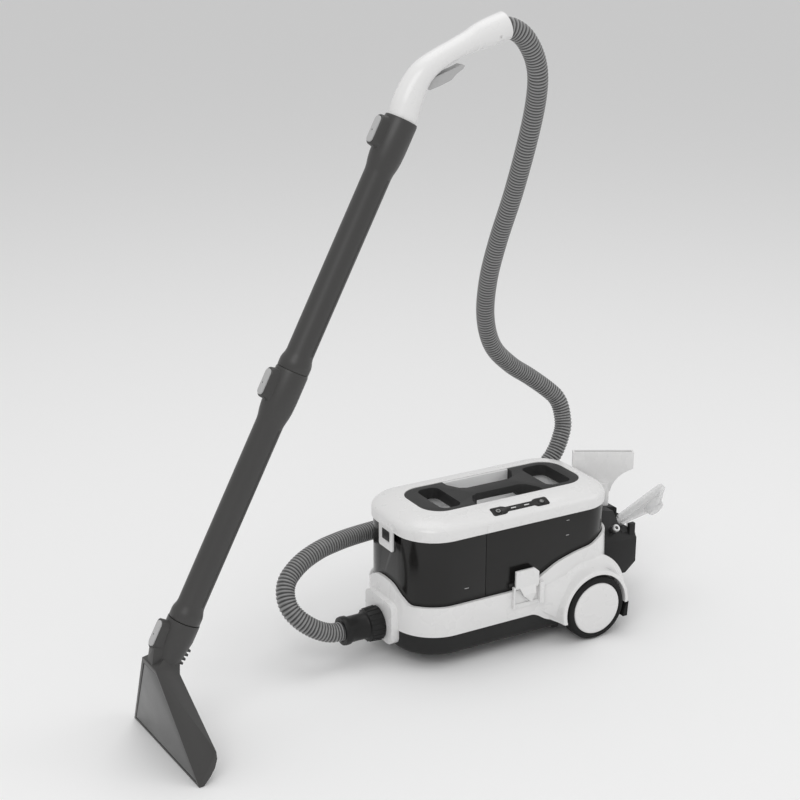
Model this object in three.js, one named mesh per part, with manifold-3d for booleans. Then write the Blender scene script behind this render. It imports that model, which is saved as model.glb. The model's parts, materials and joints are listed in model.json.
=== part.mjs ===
// Carpet and upholstery cleaner: a wheeled machine with a lift-out tank module, a tool caddy,
// a suction hose and a two-tube floor wand. Millimetres, +Z up.
// X runs from the hose port (front, -X) to the tool caddy (rear, +X); Y runs across the machine.
import * as THREE from 'three';
import { mergeVertices } from 'three/addons/utils/BufferGeometryUtils.js';
import { ConvexGeometry } from 'three/addons/geometries/ConvexGeometry.js';
import Module from 'manifold-3d';

const wasm = await Module();
wasm.setup();

// ---- driving dimensions ------------------------------------------------------------------
const GAP = 0.3; // clearance between pieces that touch
const WALL = 3; // moulded wall of the base and the hand recess
const COVER_WALL = 4.5; // the cover's wall reaches over the tanks' edges

const BODY_HALF_LENGTH = 199.5; // top cover, from its middle to each end
const BODY_HALF_WIDTH = 103;
const FRONT_CORNER = 71;
const REAR_CORNER = 64;

const RIM_Z = 226; // lower edge of the top cover
const RIM_HEIGHT = 14; // upright band of the cover
const CROWN_RISE = 20; // the domed edge climbs this much
const CROWN_REACH = 50; // while it runs this far inward
const TOP_Z = RIM_Z + RIM_HEIGHT + CROWN_RISE;

const BASE_OUTSET = 4; // the base shell stands this far outside the cover's outline
const FLOOR_CLEARANCE = 25; // underside of the base
const TRAY_TOP_Z = 60; // line between the black tray and the white shell
const TRAY_LOW_Z = 40; // the same line beside the wheels
const SIDE_EDGE_Z = 112; // upper edge of the shell along the side
const FRONT_EDGE_Z = 137; // and over the hose port
const REAR_EDGE_Z = 172; // and at the back

const WHEEL_X = BODY_HALF_LENGTH - 64;
const WHEEL_R = 57;
const WHEEL_WIDTH = 30;
const WHEEL_FACE_Y = BODY_HALF_WIDTH + 35.5;
const HUB_R = WHEEL_R - 11;
const AXLE_R = 5;
const ARCH_LIP = WHEEL_R + 10; // outer radius of the wheel arch at its lip
const ARCH_ROOT = WHEEL_R + 23; // and where it grows out of the body side
const WELL_R = WHEEL_R + 4;

const CASTER_X = -BODY_HALF_LENGTH + 69.5;
const CASTER_Y = 28;
const CASTER_R = 11;
const CASTER_TRAIL = 8;

const TANK_INSET = 3; // the tanks stand this far inside the cover's outline
const TANK_WALL = 2.5;
const TANK_SEAM_X = -BODY_HALF_LENGTH + 132.5;
const TANK_BOTTOM_Z = 97;
const TANK_TOP_Z = RIM_Z - GAP;
const LID_THICK = 3;

const HANDLE_MID_X = 8;
const HANDLE_HALF_LENGTH = BODY_HALF_LENGTH - 43.5; // carry handle moulding, outer ends
const HANDLE_HALF_WIDTH = BODY_HALF_WIDTH - 46;
const HANDLE_CORNER = 38;
const GRIP_HALF_LENGTH = HANDLE_HALF_LENGTH - 90; // the bar between the two end plates
const GRIP_HALF_WIDTH = 15;
const GRIP_THICK = 13;
const HANDLE_THICK = 20;
const HOLE_HALF_WIDTH = 45;
const HOLE_CORNER = 14;
const FINGER_HOLES = [ // centre from the handle's middle, half length
  [50 - HANDLE_HALF_LENGTH, 20], [HANDLE_HALF_LENGTH - 47, 25],
];
const HANDLE_TOP_Z = TOP_Z - 0.8;
const TRAY_DEPTH = 46; // hand recess below the cover's top
const LID_Z = TOP_Z - TRAY_DEPTH - 14; // the tanks' lid lies under the hand recess

const STRIP_X = 5.5; // control strip
const STRIP_Y = 15.5 - BODY_HALF_WIDTH;
const STRIP_Z = 254.5;
const STRIP_TILT = 20; // degrees
const STRIP_LENGTH = 111;
const STRIP_WIDTH = 18;
const STRIP_THICK = 4;

const PORT_Z = 58.5; // hose port axis
const BOSS_HALF_WIDTH = 45;
const BOSS_DEPTH = 11;
const BOSS_BACK_X = -BODY_HALF_LENGTH + 1.5;
const PORT_R = 21.5;
const PORT_WALL = 2;

const HOSE_R = 16.1;
const TUBE_R = 20.6;
const SOCKET_R = TUBE_R + 4.4;
const TUBE_WALL = 2.4;
const SOCKET_LENGTH = 68;
const SPIGOT_LENGTH = 52;
const TOOL_SPIGOT_LENGTH = 24; // the floor tool's neck is short
const LOWER_TUBE_LENGTH = 400; // ring line to ring line
const UPPER_TUBE_LENGTH = 392;
const WAND_Y = -114;
const WAND_FOOT = [-600.5, 207.5]; // x, z of the ring line above the floor tool
const WAND_LEAN = 27.5; // degrees from upright

const LIP_X = -640; // floor tool lip
const LIP_HALF_WIDTH = 116.5;
const NECK_HALF_WIDTH = 24;
const PLATE_TOP_Z = 152;
const PLATE_LEAN = 18.5; // the front plate's top stands this far in front of the lip
const TOOL_YAW = 3; // degrees

const CADDY_FRONT_X = BODY_HALF_LENGTH + BASE_OUTSET + 0.8;
const CADDY_REAR_X = CADDY_FRONT_X + 70.7;
const CADDY_HALF_WIDTH = 60;
const CADDY_BOTTOM_Z = 66;
const CADDY_TOP_Z = 176;
const CADDY_SHOULDER_Z = 130;
const STEP_X = CADDY_FRONT_X + 45.7; // the shelf that holds the hand nozzle starts here
const STEP_Z = 140;
const WIDE_TOOL = [CADDY_FRONT_X + 49.7, 20]; // x, y of the upright tool's neck
const WIDE_NECK_R = 14;
const HAND_PITCH = 18; // degrees above level

// ---- colours and finishes -------------------------------------------------------------------
const finish = (color, roughness, metalness = 0) =>
  new THREE.MeshStandardMaterial({ color, roughness, metalness });
const clear = (color, roughness, opacity) =>
  new THREE.MeshStandardMaterial({ color, roughness, metalness: 0, transparent: true, opacity });

const whiteGloss = () => finish(0xf2f2f0, 0.3);
const paleGrey = () => finish(0xc9cacb, 0.45);
const blackSatin = () => finish(0x232224, 0.5);
const blackMatte = () => finish(0x1d1c1e, 0.75);
const darkGrey = () => finish(0x434244, 0.45);
const smoky = () => clear(0x2b292b, 0.15, 0.8);
const hoseGrey = () => finish(0x77777a, 0.55);
const steel = () => finish(0xb9bcc0, 0.3, 0.9);
const clearPlastic = () => clear(0xdfe3e4, 0.1, 0.45);
const lampWhite = () => finish(0xeef3f5, 0.3);

// ---- geometry helpers -------------------------------------------------------------------------
const rad = THREE.MathUtils.degToRad;
const vec2 = (x, y) => new THREE.Vector2(x, y);
const vec3 = (x, y, z) => new THREE.Vector3(x, y, z);

function toSolid(geometry) {
  const bare = geometry.clone();
  for (const key of Object.keys(bare.attributes)) {
    if (key !== 'position') bare.deleteAttribute(key);
  }
  const welded = mergeVertices(bare, 1e-4);
  const mesh = new wasm.Mesh({
    numProp: 3,
    vertProperties: new Float32Array(welded.attributes.position.array),
    triVerts: new Uint32Array(welded.index.array),
  });
  return new wasm.Manifold(mesh);
}

function toMesh(name, solid, material) {
  const { vertProperties, triVerts } = solid.getMesh();
  const geometry = new THREE.BufferGeometry();
  geometry.setAttribute('position', new THREE.BufferAttribute(vertProperties, 3));
  geometry.setIndex(new THREE.BufferAttribute(triVerts, 1));
  geometry.computeVertexNormals();
  const mesh = new THREE.Mesh(geometry, material);
  mesh.name = name;
  return mesh;
}

const join = (...solids) => solids.reduce((a, b) => a.add(b));
const cut = (solid, ...tools) => tools.reduce((a, b) => a.subtract(b), solid);

function box(x, y, z) {
  const geometry = new THREE.BoxGeometry(x[1] - x[0], y[1] - y[0], z[1] - z[0]);
  geometry.translate((x[0] + x[1]) / 2, (y[0] + y[1]) / 2, (z[0] + z[1]) / 2);
  return toSolid(geometry);
}

// A round rod between two points, with its own radius at each end.
function rod(from, to, rFrom, rTo = rFrom, sides = 24) {
  const axis = to.clone().sub(from);
  const geometry = new THREE.CylinderGeometry(rTo, rFrom, axis.length(), sides);
  geometry.applyQuaternion(
    new THREE.Quaternion().setFromUnitVectors(vec3(0, 1, 0), axis.clone().normalize()));
  const middle = from.clone().add(to).multiplyScalar(0.5);
  geometry.translate(middle.x, middle.y, middle.z);
  return toSolid(geometry);
}

const PLANES = {
  xy: new THREE.Matrix4(),
  xz: new THREE.Matrix4().makeBasis(vec3(1, 0, 0), vec3(0, 0, 1), vec3(0, -1, 0)),
  yz: new THREE.Matrix4().makeBasis(vec3(0, 1, 0), vec3(0, 0, 1), vec3(1, 0, 0)),
};

// A straight-sided solid: an outline drawn in one plane, run from lo to hi across it.
function prism(plane, outline, lo, hi) {
  const shape = outline instanceof THREE.Shape ? outline : new THREE.Shape(outline);
  const options = { depth: hi - lo, bevelEnabled: false, steps: 1, curveSegments: 6 };
  const geometry = new THREE.ExtrudeGeometry(shape, options);
  geometry.translate(0, 0, plane === 'xz' ? -hi : lo);
  geometry.applyMatrix4(PLANES[plane]);
  return toSolid(geometry);
}

// A closed skin through a stack of rings that all have the same number of points.
function loft(rings) {
  const count = rings[0].length;
  const points = rings.flat();
  const index = [];
  for (let level = 0; level < rings.length - 1; level += 1) {
    for (let i = 0; i < count; i += 1) {
      const a = level * count + i;
      const b = level * count + ((i + 1) % count);
      index.push(a, b, b + count, a, b + count, a + count);
    }
  }
  const middle = (ring) => ring.reduce((s, p) => s.add(p), vec3(0, 0, 0)).divideScalar(count);
  const low = points.length;
  const high = low + 1;
  const last = (rings.length - 1) * count;
  for (let i = 0; i < count; i += 1) {
    const next = (i + 1) % count;
    index.push(low, next, i);
    index.push(high, last + i, last + next);
  }
  const all = [...points, middle(rings[0]), middle(rings[rings.length - 1])];
  const geometry = new THREE.BufferGeometry();
  geometry.setAttribute('position', new THREE.Float32BufferAttribute(all.flatMap((p) => p.toArray()), 3));
  geometry.setIndex(index);
  return toSolid(geometry);
}

const hull = (points) => toSolid(new ConvexGeometry(points));

// A solid of revolution about +Z; profile points are [radius, height] and close on themselves.
function turned(profile, sides = 32) {
  const closed = [...profile, profile[0]];
  return toSolid(new THREE.LatheGeometry(closed.map(([r, z]) => vec2(r, z)), sides)
    .applyMatrix4(new THREE.Matrix4().makeRotationX(Math.PI / 2)));
}

function moved(solid, matrix) {
  const m = matrix.elements;
  return solid.transform([m[0], m[1], m[2], m[3], m[4], m[5], m[6], m[7],
    m[8], m[9], m[10], m[11], m[12], m[13], m[14], m[15]]);
}
const shift = (x, y, z) => new THREE.Matrix4().makeTranslation(x, y, z);
const turn = (axis, degrees) => new THREE.Matrix4().makeRotationAxis(axis, rad(degrees));
const X_AXIS = vec3(1, 0, 0);
const Y_AXIS = vec3(0, 1, 0);
const Z_AXIS = vec3(0, 0, 1);

// The body's rounded plan outline, drawn smaller by an inset (or larger by a negative one).
function bodyOutline(inset, steps = 6) {
  const halfLength = BODY_HALF_LENGTH - inset;
  const halfWidth = BODY_HALF_WIDTH - inset;
  const rear = Math.max(REAR_CORNER - inset, 1);
  const front = Math.max(FRONT_CORNER - inset, 1);
  const corners = [
    [halfLength - rear, halfWidth - rear, 0, rear],
    [front - halfLength, halfWidth - front, 90, front],
    [front - halfLength, front - halfWidth, 180, front],
    [halfLength - rear, rear - halfWidth, 270, rear],
  ];
  const points = [];
  for (const [x, y, start, radius] of corners) {
    for (let i = 0; i <= steps; i += 1) {
      const angle = rad(start + (90 * i) / steps);
      points.push(vec2(x + radius * Math.cos(angle), y + radius * Math.sin(angle)));
    }
  }
  return points;
}
const bodyRing = (inset, z) => bodyOutline(inset).map((p) => vec3(p.x, p.y, z));
const bodyPrism = (inset, lo, hi) => prism('xy', bodyOutline(inset), lo, hi);

// A rectangle with round ends, centred on a point.
function roundedRect(x, y, halfX, halfY, radius) {
  const shape = new THREE.Shape();
  const arcs = [
    [x + halfX - radius, y + halfY - radius, 0],
    [x - halfX + radius, y + halfY - radius, 90],
    [x - halfX + radius, y - halfY + radius, 180],
    [x + halfX - radius, y - halfY + radius, 270],
  ];
  for (const [cx, cy, start] of arcs) {
    shape.absarc(cx, cy, radius, rad(start), rad(start + 90), false);
  }
  return shape;
}

// ---- top cover, hand recess and carry handle --------------------------------------------------
function crownRings(inset, drop) {
  const rings = [bodyRing(inset, RIM_Z - drop), bodyRing(inset, RIM_Z + RIM_HEIGHT - drop)];
  const steps = 5;
  for (let i = 1; i <= steps; i += 1) {
    const angle = (Math.PI / 2) * (i / steps);
    const reach = inset + CROWN_REACH * (1 - Math.cos(angle));
    rings.push(bodyRing(reach, RIM_Z + RIM_HEIGHT - drop + CROWN_RISE * Math.sin(angle)));
  }
  return rings;
}

// One end plate of the handle moulding: straight towards the grip, round towards the end.
function handleEnd(side, grow, clearance = 0) {
  const outer = HANDLE_MID_X + side * (HANDLE_HALF_LENGTH + clearance);
  const inner = HANDLE_MID_X + side * (GRIP_HALF_LENGTH - grow);
  const half = HANDLE_HALF_WIDTH + clearance;
  const radius = HANDLE_CORNER;
  const points = [vec2(inner, side * half)];
  points.push(vec2(inner, -side * half));
  for (let i = 0; i <= 8; i += 1) {
    const a = rad(-90 + (90 * i) / 8);
    points.push(vec2(outer + side * radius * (Math.cos(a) - 1),
      side * (-half + radius + radius * Math.sin(a))));
  }
  for (let i = 0; i <= 8; i += 1) {
    const a = rad((90 * i) / 8);
    points.push(vec2(outer + side * radius * (Math.cos(a) - 1),
      side * (half - radius + radius * Math.sin(a))));
  }
  return points;
}

// The whole opening in the cover: both end plates and the hand recess between them.
function recessOpening(clearance, lo, hi) {
  const middle = box(
    [HANDLE_MID_X - GRIP_HALF_LENGTH - 8, HANDLE_MID_X + GRIP_HALF_LENGTH + 8],
    [-HANDLE_HALF_WIDTH - clearance, HANDLE_HALF_WIDTH + clearance], [lo, hi]);
  return join(middle, prism('xy', handleEnd(1, 0, clearance), lo, hi),
    prism('xy', handleEnd(-1, 0, clearance), lo, hi));
}

function stripOutline(grow) {
  const half = STRIP_LENGTH / 2 + grow;
  const wide = STRIP_WIDTH / 2 + grow;
  const waist = wide - 3.5;
  const end = 26;
  const r = 4;
  const quarter = [
    [half, 0], [half, wide - r], [half - r * 0.3, wide - r * 0.3], [half - r, wide],
    [half - end + r, wide], [half - end - r, waist], [0, waist],
  ];
  const right = [...quarter, ...quarter.slice(0, -1).map(([x, y]) => [-x, y]).reverse()];
  const left = right.slice(1, -1).map(([x, y]) => [x, -y]).reverse();
  return [...right, ...left].map(([x, y]) => vec2(x, y));
}
const stripFrame = () => shift(STRIP_X, STRIP_Y, STRIP_Z).multiply(turn(X_AXIS, STRIP_TILT));

const TONGUE_HALF_WIDTH = 23;
const TONGUE_BOTTOM_Z = 190;
const WINDOW_HALF_WIDTH = 13;
const WINDOW_Z = [204, 223];

function topCover() {
  const shell = cut(loft(crownRings(0, 0)), loft(crownRings(COVER_WALL, COVER_WALL)));
  const front = -BODY_HALF_LENGTH;
  const tongue = box([front - 0.5, front + TANK_INSET - 0.5], [-TONGUE_HALF_WIDTH, TONGUE_HALF_WIDTH],
    [TONGUE_BOTTOM_Z, RIM_Z + 6]);
  const window = box([front - 5, front + 8], [-WINDOW_HALF_WIDTH, WINDOW_HALF_WIDTH], WINDOW_Z);
  const slot = moved(prism('xy', stripOutline(GAP), -STRIP_THICK - 4, 12), stripFrame());
  return cut(join(shell, tongue), window, slot, recessOpening(GAP, TOP_Z - 40, TOP_Z + 5));
}

function recessTray() {
  const floor = TOP_Z - TRAY_DEPTH;
  const outer = recessOpening(-GAP, floor - WALL, TOP_Z - 1.5);
  const inner = recessOpening(-GAP - WALL, floor, TOP_Z + 5);
  const ledges = [-1, 1].map((side) =>
    prism('xy', handleEnd(side, GAP, GAP), HANDLE_TOP_Z - HANDLE_THICK - GAP, TOP_Z + 5));
  return cut(outer, inner, ...ledges);
}

function carryHandle() {
  const top = HANDLE_TOP_Z;
  const low = top - HANDLE_THICK;
  const plates = join(...[-1, 1].map((side) => prism('xy', handleEnd(side, 0, -GAP), low, top)));
  const grip = box([HANDLE_MID_X - GRIP_HALF_LENGTH - 6, HANDLE_MID_X + GRIP_HALF_LENGTH + 6],
    [-GRIP_HALF_WIDTH, GRIP_HALF_WIDTH], [top - GRIP_THICK, top]);
  const webs = [];
  const holes = [];
  for (const side of [-1, 1]) {
    const root = HANDLE_MID_X + side * GRIP_HALF_LENGTH;
    webs.push(prism('xy', [
      vec2(root + side, side * 44), vec2(root + side, -side * 44),
      vec2(root - side * 12, -side * (GRIP_HALF_WIDTH + 6)), vec2(root - side * 26, -side * (GRIP_HALF_WIDTH - 1)),
      vec2(root - side * 26, side * (GRIP_HALF_WIDTH - 1)), vec2(root - side * 12, side * (GRIP_HALF_WIDTH + 6)),
    ], low, top));
  }
  for (const [offset, half] of FINGER_HOLES) {
    holes.push(prism('xy', roundedRect(HANDLE_MID_X + offset, 0, half, HOLE_HALF_WIDTH, HOLE_CORNER), low - 5, top + 5));
  }
  return cut(join(plates, grip, ...webs), ...holes);
}

// ---- control strip, buttons and lights -----------------------------------------------------
const POWER_X = -43;
const MODE_X = 43;
const BUTTON_R = 6;
const LIGHTS_X = [-13, 13];

function controlStrip() {
  const plate = prism('xy', stripOutline(0), -STRIP_THICK, 0);
  const holes = [POWER_X, MODE_X].map((x) => rod(vec3(x, 0, -9), vec3(x, 0, 5), BUTTON_R + GAP));
  const slots = LIGHTS_X.map((x) => box([x - 5, x + 5], [-1.2, 1.2], [-1.5, 5]));
  return moved(cut(plate, ...holes, ...slots), stripFrame());
}
const stripButton = (x) => moved(rod(vec3(x, 0, -3), vec3(x, 0, 0.6), BUTTON_R), stripFrame());
const stripLight = (x) =>
  moved(box([x - 5 + GAP, x + 5 - GAP], [-1.2 + GAP, 1.2 - GAP], [-1.5 + GAP, 0.3]), stripFrame());

function releaseButton() {
  const face = -BODY_HALF_LENGTH - 0.4;
  const half = WINDOW_HALF_WIDTH - 0.5;
  return box([face, face + 5], [-half, half], [WINDOW_Z[0] + 0.5, WINDOW_Z[1] - 0.5]);
}

// ---- tank module ------------------------------------------------------------------------------
// Underside of the tanks in side view: level at the front, climbing over the motor at the rear.
const MOTOR_X = WHEEL_X + 4.5;
const TANK_UNDERSIDE = [
  [-MOTOR_X - 90, 0], [MOTOR_X - 120, 0], [MOTOR_X - 95, 16], [MOTOR_X - 64, 33], [MOTOR_X - 28, 44],
  [MOTOR_X + 10, 52], [MOTOR_X + 90, 60],
];
const TANK_END_X = MOTOR_X + 90; // beyond both ends of the tanks

function tankVolume(inset, lift, x0, x1) {
  const outline = [vec2(x0, 300), vec2(x0, TANK_BOTTOM_Z + lift)];
  for (const [x, rise] of TANK_UNDERSIDE) {
    if (x > x0 && x < x1) outline.push(vec2(x, TANK_BOTTOM_Z + lift + rise));
  }
  const end = x1 === TANK_END_X ? 60 : 0;
  outline.push(vec2(x1, TANK_BOTTOM_Z + lift + end), vec2(x1, 300));
  return bodyPrism(TANK_INSET + inset, TANK_BOTTOM_Z - 5, TANK_TOP_Z + lift * 4)
    .intersect(prism('xz', outline, -150, 150));
}

// Room in the tank's front for the cover's tongue and release button.
const POCKET_X = -BODY_HALF_LENGTH + 11;
const POCKET_HALF_WIDTH = WINDOW_HALF_WIDTH + 3;
const POCKET_NEAR_Y = -TONGUE_HALF_WIDTH - 20; // a finger notch on the near side only

function tonguePocket(grow) {
  const outside = -BODY_HALF_LENGTH - 30;
  const [near, far] = [POCKET_NEAR_Y - grow, POCKET_HALF_WIDTH + grow];
  return join(box([outside, POCKET_X + grow], [-far, far], [WINDOW_Z[0] - 2 - grow, 300]),
    box([outside, POCKET_X + grow], [near, far], [210 - grow, 300]));
}

// The seam walls stop below the lid, which lies across both tanks.
function seamNotch() {
  const half = BODY_HALF_WIDTH - TANK_INSET - TANK_WALL;
  return box([TANK_SEAM_X - TANK_WALL - 2, TANK_SEAM_X + TANK_WALL + 2], [-half, half], [LID_Z - GAP, 300]);
}

function dirtyTank() {
  const outer = tankVolume(0, 0, -TANK_END_X, TANK_SEAM_X - GAP);
  const cavity = tankVolume(TANK_WALL, TANK_WALL, -TANK_END_X, TANK_SEAM_X - GAP - TANK_WALL);
  const inlet = rod(vec3(INLET_X, 0, 80), vec3(INLET_X, 0, 110), INLET_R + GAP);
  return cut(outer, cavity.subtract(tonguePocket(TANK_WALL)), tonguePocket(0), seamNotch(), inlet);
}

const INLET_X = -BODY_HALF_LENGTH + 35.5;
const INLET_R = 14;

function inletPipe() {
  const at = (z) => vec3(INLET_X, 0, z);
  return cut(rod(at(TANK_BOTTOM_Z + 0.5), at(LID_Z - 16), INLET_R), rod(at(60), at(LID_Z), INLET_R - 2));
}

const VALVE = [-10, 40];
const VALVE_R = 7;

function cleanTank() {
  const outer = tankVolume(0, 0, TANK_SEAM_X + GAP, TANK_END_X);
  const cavity = tankVolume(TANK_WALL, TANK_WALL, TANK_SEAM_X + GAP + TANK_WALL, TANK_END_X);
  const outlet = rod(vec3(...VALVE, 80), vec3(...VALVE, 110), VALVE_R + GAP);
  return cut(outer, cavity, seamNotch(), outlet);
}

function tankValve() {
  const at = (z) => vec3(...VALVE, z);
  return join(rod(at(TANK_BOTTOM_Z - 8), at(TANK_BOTTOM_Z + 5), VALVE_R - 1.5),
    rod(at(TANK_BOTTOM_Z + 4), at(TANK_BOTTOM_Z + 9), VALVE_R + 3));
}

const FLOAT = [-BODY_HALF_LENGTH + 74.5, 0];
const FILLER_X = MOTOR_X + 10;
const FILLER_R = 20;
const CAGE_R = 19;

function tankLid() {
  const inset = TANK_INSET + TANK_WALL + GAP;
  const plate = bodyPrism(inset, LID_Z, LID_Z + LID_THICK);
  const clear = TANK_WALL + GAP;
  const notch = box([-BODY_HALF_LENGTH - 30, POCKET_X + clear],
    [POCKET_NEAR_Y - clear, POCKET_HALF_WIDTH + clear], [LID_Z - 5, LID_Z + 10]);
  const inlet = rod(vec3(...FLOAT, LID_Z - 5), vec3(...FLOAT, LID_Z + 9), 12);
  const filler = rod(vec3(FILLER_X, 0, LID_Z - 5), vec3(FILLER_X, 0, LID_Z + 9), FILLER_R);
  return cut(plate, notch, inlet, filler);
}

function fillerCap() {
  const at = (z) => vec3(FILLER_X, 0, z);
  return join(rod(at(LID_Z - 1.5), at(LID_Z + LID_THICK + 1), FILLER_R - GAP),
    rod(at(LID_Z + LID_THICK + GAP), at(LID_Z + LID_THICK + 6), FILLER_R + 4));
}

function floatCage() {
  const at = (z) => vec3(...FLOAT, z);
  const top = LID_Z - GAP;
  const bottom = top - 62;
  const can = cut(rod(at(bottom), at(top), CAGE_R), rod(at(bottom + 2), at(top + 4), CAGE_R - 2));
  const slots = [0, 60, 120].map((angle) => moved(box([-40, 40], [-4, 4], [bottom + 8, top - 22]),
    shift(...FLOAT, 0).multiply(turn(Z_AXIS, angle))));
  return cut(can, ...slots);
}

function tankFloat() {
  const base = LID_Z - GAP - 60 + GAP;
  const at = (z) => vec3(...FLOAT, z);
  return rod(at(base), at(base + 26), CAGE_R - 4);
}

// ---- base: tray, shell, port, arches --------------------------------------------------------
// Line between the black tray and the white shell, in side view.
const PARTING = [[-260, 0], [WHEEL_X - 107.5, 0], [WHEEL_X - 87.5, -11], [WHEEL_X - 63.5, -20], [260, -20]];
const partingLine = (offset) => PARTING.map(([x, drop]) => vec2(x, TRAY_TOP_Z + drop + offset));

function bossPrism(grow, x0, x1) {
  const half = BOSS_HALF_WIDTH + grow;
  const outline = [
    vec2(-half, 43), vec2(-half + 11, 32 - grow), vec2(half - 11, 32 - grow), vec2(half, 43),
    vec2(half, 88), vec2(half - 18, 106 + grow), vec2(-half + 18, 106 + grow), vec2(-half, 88),
  ];
  return prism('yz', outline, x0, x1);
}

function baseTray() {
  const rings = [
    bodyRing(2 - BASE_OUTSET + 6, FLOOR_CLEARANCE), bodyRing(2 - BASE_OUTSET + 2, FLOOR_CLEARANCE + 3),
    bodyRing(2 - BASE_OUTSET, FLOOR_CLEARANCE + 9), bodyRing(2 - BASE_OUTSET, TRAY_TOP_Z),
  ];
  const above = prism('xz', [...partingLine(0), vec2(260, 300), vec2(-260, 300)], -150, 150);
  const cavity = bodyPrism(2 - BASE_OUTSET + 2 * WALL + 2, FLOOR_CLEARANCE + WALL, 100);
  const boss = bossPrism(GAP, BOSS_BACK_X - 60, BOSS_BACK_X + GAP);
  const port = rod(vec3(BOSS_BACK_X - 60, 0, PORT_Z), vec3(BOSS_BACK_X + 48, 0, PORT_Z), PORT_R + PORT_WALL + GAP, PORT_R + PORT_WALL + GAP, 32);
  const tub = cut(loft(rings), above, cavity, boss, port);
  const posts = [[-30, 30], [-30, -30], [32, 0]].map(([x, y]) =>
    rod(vec3(MOTOR_X + x, y, FLOOR_CLEARANCE + 1), vec3(MOTOR_X + x, y, MOTOR_Z - GAP), 6, 6, 12));
  const skidX = WHEEL_X - 57.5;
  const skids = [11 - BODY_HALF_WIDTH, BODY_HALF_WIDTH - 11].map((y) =>
    rod(vec3(skidX, y, FLOOR_CLEARANCE - 6), vec3(skidX, y, FLOOR_CLEARANCE + 5), 7, 11, 16));
  const seats = [-CASTER_Y, CASTER_Y].map((y) =>
    rod(vec3(CASTER_X, y, FLOOR_CLEARANCE + 1), vec3(CASTER_X, y, FLOOR_CLEARANCE + 14), 9, 9, 16));
  const pins = [-CASTER_Y, CASTER_Y].map((y) =>
    rod(vec3(CASTER_X, y, 10), vec3(CASTER_X, y, FLOOR_CLEARANCE + 11), 4 + GAP, 4 + GAP, 16));
  return cut(join(tub, ...posts, ...skids, ...seats), ...pins);
}

// Upper edge of the shell in side view, behind the front corner.
const SHELL_FRONT_X = -BODY_HALF_LENGTH + 49.5;
const SHELL_EDGE = [ // from the wheels' axis, above the side edge
  [-143.5, 0], [-119.5, 5], [-96.5, 15], [-63.5, 32], [-26.5, 43], [4.5, 49], [26.5, 57], [44.5, 60],
];

function shellCutters() {
  const side = [
    vec2(SHELL_FRONT_X, SIDE_EDGE_Z), ...SHELL_EDGE.map(([x, rise]) => vec2(WHEEL_X + x, SIDE_EDGE_Z + rise)),
    vec2(300, REAR_EDGE_Z), vec2(300, 320), vec2(SHELL_FRONT_X, 320),
  ];
  const front = [
    vec2(-190, SIDE_EDGE_Z), vec2(-64, SIDE_EDGE_Z), vec2(-52, SIDE_EDGE_Z + 9), vec2(-14, FRONT_EDGE_Z),
    vec2(14, FRONT_EDGE_Z), vec2(52, SIDE_EDGE_Z + 9), vec2(64, SIDE_EDGE_Z), vec2(190, SIDE_EDGE_Z),
    vec2(190, 320), vec2(-190, 320),
  ];
  return [prism('xz', side, -190, 190), prism('yz', front, -300, SHELL_FRONT_X + 0.1)];
}

function wheelArch(side) {
  const at = (y) => vec3(WHEEL_X, side * y, WHEEL_R);
  const root = BODY_HALF_WIDTH - 2;
  const lip = WHEEL_FACE_Y - 2.5;
  const flare = hull([
    ...[[0, 60], [0, 108], [5, 62], [5, 106]].map(([out, z]) => vec3(WHEEL_X - 91.5, side * (root + out), z)),
    vec3(WHEEL_X - 58, side * root, 41), vec3(WHEEL_X - 58, side * (lip - 14), 41),
    vec3(WHEEL_X - 40, side * root, 124), vec3(WHEEL_X - 40, side * (lip - 14), 112),
    vec3(WHEEL_X - 40, side * root, 41), vec3(WHEEL_X - 56, side * (lip - 8), 60), vec3(WHEEL_X - 50, side * (lip - 8), 92),
  ]);
  const dome = rod(at(root), at(lip), ARCH_ROOT, ARCH_LIP, 44);
  return join(dome, flare);
}

const wheelWell = (side) =>
  rod(vec3(WHEEL_X, side * (BODY_HALF_WIDTH + 4.5), WHEEL_R), vec3(WHEEL_X, side * 200, WHEEL_R), WELL_R, WELL_R, 44);

function baseShell() {
  const top = 210;
  const outer = loft([bodyRing(-BASE_OUTSET, TRAY_LOW_Z), bodyRing(-BASE_OUTSET, 120), bodyRing(-BASE_OUTSET + 2.4, top)]);
  const cavity = bodyPrism(TANK_INSET - 1.2, TRAY_LOW_Z - 5, top + 5);
  const below = prism('xz', [vec2(-260, -60), vec2(260, -60), ...partingLine(GAP).reverse()], -200, 200);
  const arches = [-1, 1].map(wheelArch);
  const wells = [-1, 1].map(wheelWell);
  const archEnds = box([WHEEL_X, 300], [-200, 200], [-60, WHEEL_R - 3]);
  const bearings = rod(vec3(WHEEL_X, -180, WHEEL_R), vec3(WHEEL_X, 180, WHEEL_R), AXLE_R + GAP);
  const bodyWall = cut(join(outer, ...arches), ...shellCutters(), cavity, below, ...wells,
    cut(archEnds, bodyPrism(-BASE_OUTSET - GAP, -20, 100)), bearings);
  const front = -BODY_HALF_LENGTH - BASE_OUTSET;
  const boss = bossPrism(0, front - BOSS_DEPTH, BOSS_BACK_X);
  const seat = rod(vec3(front - 36, 0, PORT_Z), vec3(front + 34, 0, PORT_Z), PORT_R + PORT_WALL + GAP, PORT_R + PORT_WALL + GAP, 32);
  const cordHole = rod(vec3(-front - 24, ...GLAND), vec3(-front + 26, ...GLAND), 9 + GAP, 9 + GAP, 24);
  return cut(join(bodyWall, boss), seat, cordHole);
}

function portSocket() {
  const face = -BODY_HALF_LENGTH - BASE_OUTSET - BOSS_DEPTH;
  const at = (x) => vec3(x, 0, PORT_Z);
  return cut(rod(at(face + GAP), at(face + 28), PORT_R + PORT_WALL, PORT_R + PORT_WALL, 32), rod(at(face - 5), at(face + 40), PORT_R, PORT_R, 32));
}

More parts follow.
